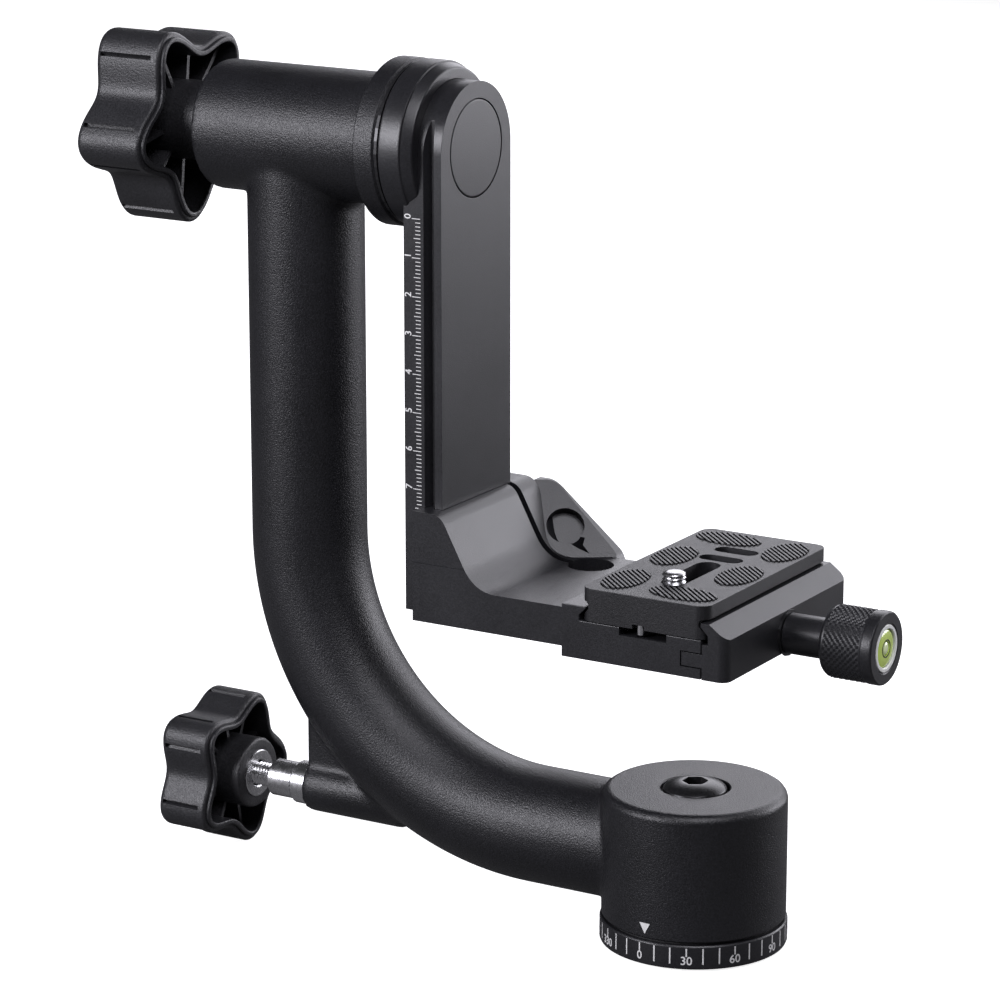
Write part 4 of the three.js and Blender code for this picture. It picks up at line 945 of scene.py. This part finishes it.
clear_bubble = finish_material(
    "clear_bubble", (0.72, 0.84, 0.42), (0.86, 0.94, 0.6), (0.03, 0.07),
    grain=120, patch=40, bump=0.0, coat=1.0)
level_bubble = spun("level_bubble_dome", [
    (0, 51.65), (1.7, 51.65), (1.7, 52.1), (1.5, 52.35), (1.0, 52.5), (0.5, 52.56),
    (0, 52.58)], "X", on_clamp, 48, closed=False)
dress(level_bubble, "clamp_knob", "level_bubble_clear", clear_bubble, "level_bubble")
ring_ink = finish_material(
    "ring_ink", (0.01, 0.012, 0.008), (0.02, 0.024, 0.016), (0.2, 0.3),
    grain=600, patch=60, bump=0.0)
level_mark = spun("level_mark", [
    (2.0, 52.4), (2.3, 52.4), (2.3, 52.5), (2.0, 52.5)], "X", on_clamp, 48)
dress(level_mark, "clamp_knob", "black_rubber", ring_ink)

# Camera plate: milled aluminium, blasted and anodised black, with dovetail grooves down both
# long sides, a slot and a well for the camera screw, two cross slots and seats for six pads.
# It slides in the clamp.
PLATE_X, PLATE_HALF_X, PLATE_HALF_Y, PLATE_CORNER = 2.4, 17.6, 33.0, 3.2
SLOT_START, SLOT_END = -16.9, 0.6
blasted_black = finish_material(
    "blasted_black", (0.003, 0.003, 0.004), (0.014, 0.014, 0.016), (0.40, 0.52),
    grain=2800, patch=70, bump=0.06)
plate_side = [(-17.6, 90.5), (17.6, 90.5), (17.6, 91.5), (15.4, 93.7), (15.4, 94.9),
              (15.9, 95.4), (17.6, 95.4), (17.6, 99.0), (-17.6, 99.0), (-17.6, 95.4),
              (-15.9, 95.4), (-15.4, 94.9), (-15.4, 93.7), (-17.6, 91.5)]
camera_plate = pushed("camera_plate_milled",
                      [(PLATE_X + x, -PLATE_HALF_Y, z) for x, z in plate_side],
                      (0, 2 * PLATE_HALF_Y, 0))
corner_x, corner_y = PLATE_HALF_X - PLATE_CORNER, PLATE_HALF_Y - PLATE_CORNER
plan = []
for x, y, bearing in ((corner_x, -corner_y, -90), (corner_x, corner_y, 0),
                      (-corner_x, corner_y, 90), (-corner_x, -corner_y, 180)):
    plan += corner_points(PLATE_X + x, y, PLATE_CORNER, bearing)
combine(camera_plate, pushed("plate_plan", [(x, y, 80) for x, y in plan], (0, 0, 30)),
        operation="INTERSECT")
soften(camera_plate, 0.25, 2)


def slot_bar(name, start, end, half, low, high, steps=14):
    """A bar with round ends, from one centre to the other, to cut a slot."""
    run = Vector(end) - Vector(start)
    bearing = math.degrees(math.atan2(run.y, run.x))
    outline = []
    for (x, y), first in ((end, bearing - 90), (start, bearing + 90)):
        for i in range(steps + 1):
            angle = math.radians(first + 180 * i / steps)
            outline.append((x + half * math.cos(angle), y + half * math.sin(angle), low))
    return pushed(name, outline, (0, 0, high - low))


# x and y from the plate's middle, and the bearing of the long axis
PADS = [(-11.35, -21.0, 94), (-11.35, 4.1, 94), (-7.05, 25.35, -5), (7.05, -25.35, -5),
        (11.35, -4.1, 94), (11.35, 21.0, 94)]
PAD_LONG, PAD_WIDE, PAD_POINTS, PAD_FLOOR = 9.3, 5.23, 48, 98.4


def oval(name, grow, height):
    """A pad's outline, grown by a play and raised from the floor of its seat."""
    angles = [2 * math.pi * i / PAD_POINTS for i in range(PAD_POINTS)]
    points = [((PAD_LONG + grow) * math.cos(angle), (PAD_WIDE + grow) * math.sin(angle),
               PAD_FLOOR) for angle in angles]
    return pushed(name, points, (0, 0, height))


def put(piece, x, y, degrees):
    piece.data.transform(Matrix.Translation((x * MM, y * MM, 0))
                         @ Matrix.Rotation(math.radians(degrees), 4, "Z"))
    return piece


# x, y and the plate's end beyond it
STOPS = ((1.2, -31.4, -40), (3.6, 31.4, 40))
NOTCH_HALF = 1.7
combine(
    camera_plate,
    slot_bar("long_slot", (PLATE_X, SLOT_START), (PLATE_X, SLOT_END), 3.3, 80, 110),
    slot_bar("screw_well", (PLATE_X, SLOT_START), (PLATE_X, SLOT_END), 6.6, 80, 95.4),
    *[slot_bar("cross_slot", (PLATE_X - 3.5, y), (PLATE_X + 3.5, y), 2.5, 80, 110)
      for y in (7.8, 16.2)],
    *[put(oval("pad_seat", 0.15, 5), PLATE_X + x, y, turn) for x, y, turn in PADS],
    *[block("notch", (x - NOTCH_HALF, min(y, end), 80), (x + NOTCH_HALF, max(y, end), 91.7))
      for x, y, end in STOPS],
    *[round_bar("stop_way", "Z", 1.15, 80, 93.35, (x, y, 0), 32) for x, y, end in STOPS])
dress(camera_plate, "plate", "black_anodised", blasted_black, "camera_plate")

# Pads: six oval pads of black rubber glued into the plate, each cut by slanting grooves that
# all run the same way across the plate.
black_rubber = finish_material(
    "black_rubber", (0.012, 0.012, 0.013), (0.028, 0.028, 0.03), (0.38, 0.5),
    grain=1200, patch=60, bump=0.03)
GROOVE_BEARING, GROOVE_PITCH, GROOVE_HALF, GROOVES_EACH_WAY = -43.4, 1.215, 0.34, 9
across = math.radians(GROOVE_BEARING + 90)
for i, (x, y, turn) in enumerate(PADS, 1):
    pad = oval(f"rubber_pad_{i}", 0.0, 0.95)
    soften(pad, 0.12, 2)
    put(pad, PLATE_X + x, y, turn)
    grooves = []
    for step in range(-GROOVES_EACH_WAY, GROOVES_EACH_WAY + 1):
        shift = GROOVE_PITCH * step
        bar = block("groove", (-12, -GROOVE_HALF, 98.75), (12, GROOVE_HALF, 101))
        grooves.append(put(bar, PLATE_X + x + shift * math.cos(across),
                           y + shift * math.sin(across), GROOVE_BEARING))
    combine(pad, joined("grooves", grooves))
    dress(pad, "plate", "black_rubber", black_rubber, f"plate_pad_{i}")

# Stop screws: two small plated pins in the ends of the plate, which keep it from sliding
# out of an open clamp.
for name, (x, y, end) in zip(("near", "far"), STOPS):
    pin = spun(f"stop_pin_{name}", [
        (0, 88.8), (0.75, 88.8), (1.0, 89.05), (1.0, 93.0), (0.8, 93.2), (0, 93.2)],
        "Z", (x, y, 0), 40, closed=False)
    dress(pin, "plate", "bright_nickel", bright_nickel, f"plate_stop_screw_{name}")

# Camera screw: a turned steel 1/4 inch screw with a coin slot in its head, free to slide
# along the plate's slot on its plated washer.
on_screw = (PLATE_X, SLOT_START, 0)
SCREW_RADIUS, SCREW_PITCH = 3.0, 1.27
camera_screw = spun("camera_screw_turned", [
    (0, 91.2), (5.7, 91.2), (6.0, 91.5), (6.0, 94.5), (5.7, 94.8), (SCREW_RADIUS, 94.8),
    *stepped(SCREW_RADIUS, 95.2, 101.1, 0.12), (2.75, 101.4), (2.3, 101.65), (1.5, 101.8),
    (0, 101.8)], "Z", on_screw, 72, closed=False)
thread(camera_screw, "Z", on_screw, low=95.1, high=101.5, radius=SCREW_RADIUS, depth=-0.55,
       pitch=SCREW_PITCH)
combine(camera_screw, block("coin_slot", (-8, -17.7, 85), (12, -16.1, 92.4)))
dress(camera_screw, "camera_screw", "bright_nickel", turned_steel, "camera_screw")
refinish(bright_nickel, "camera_screw_washer")
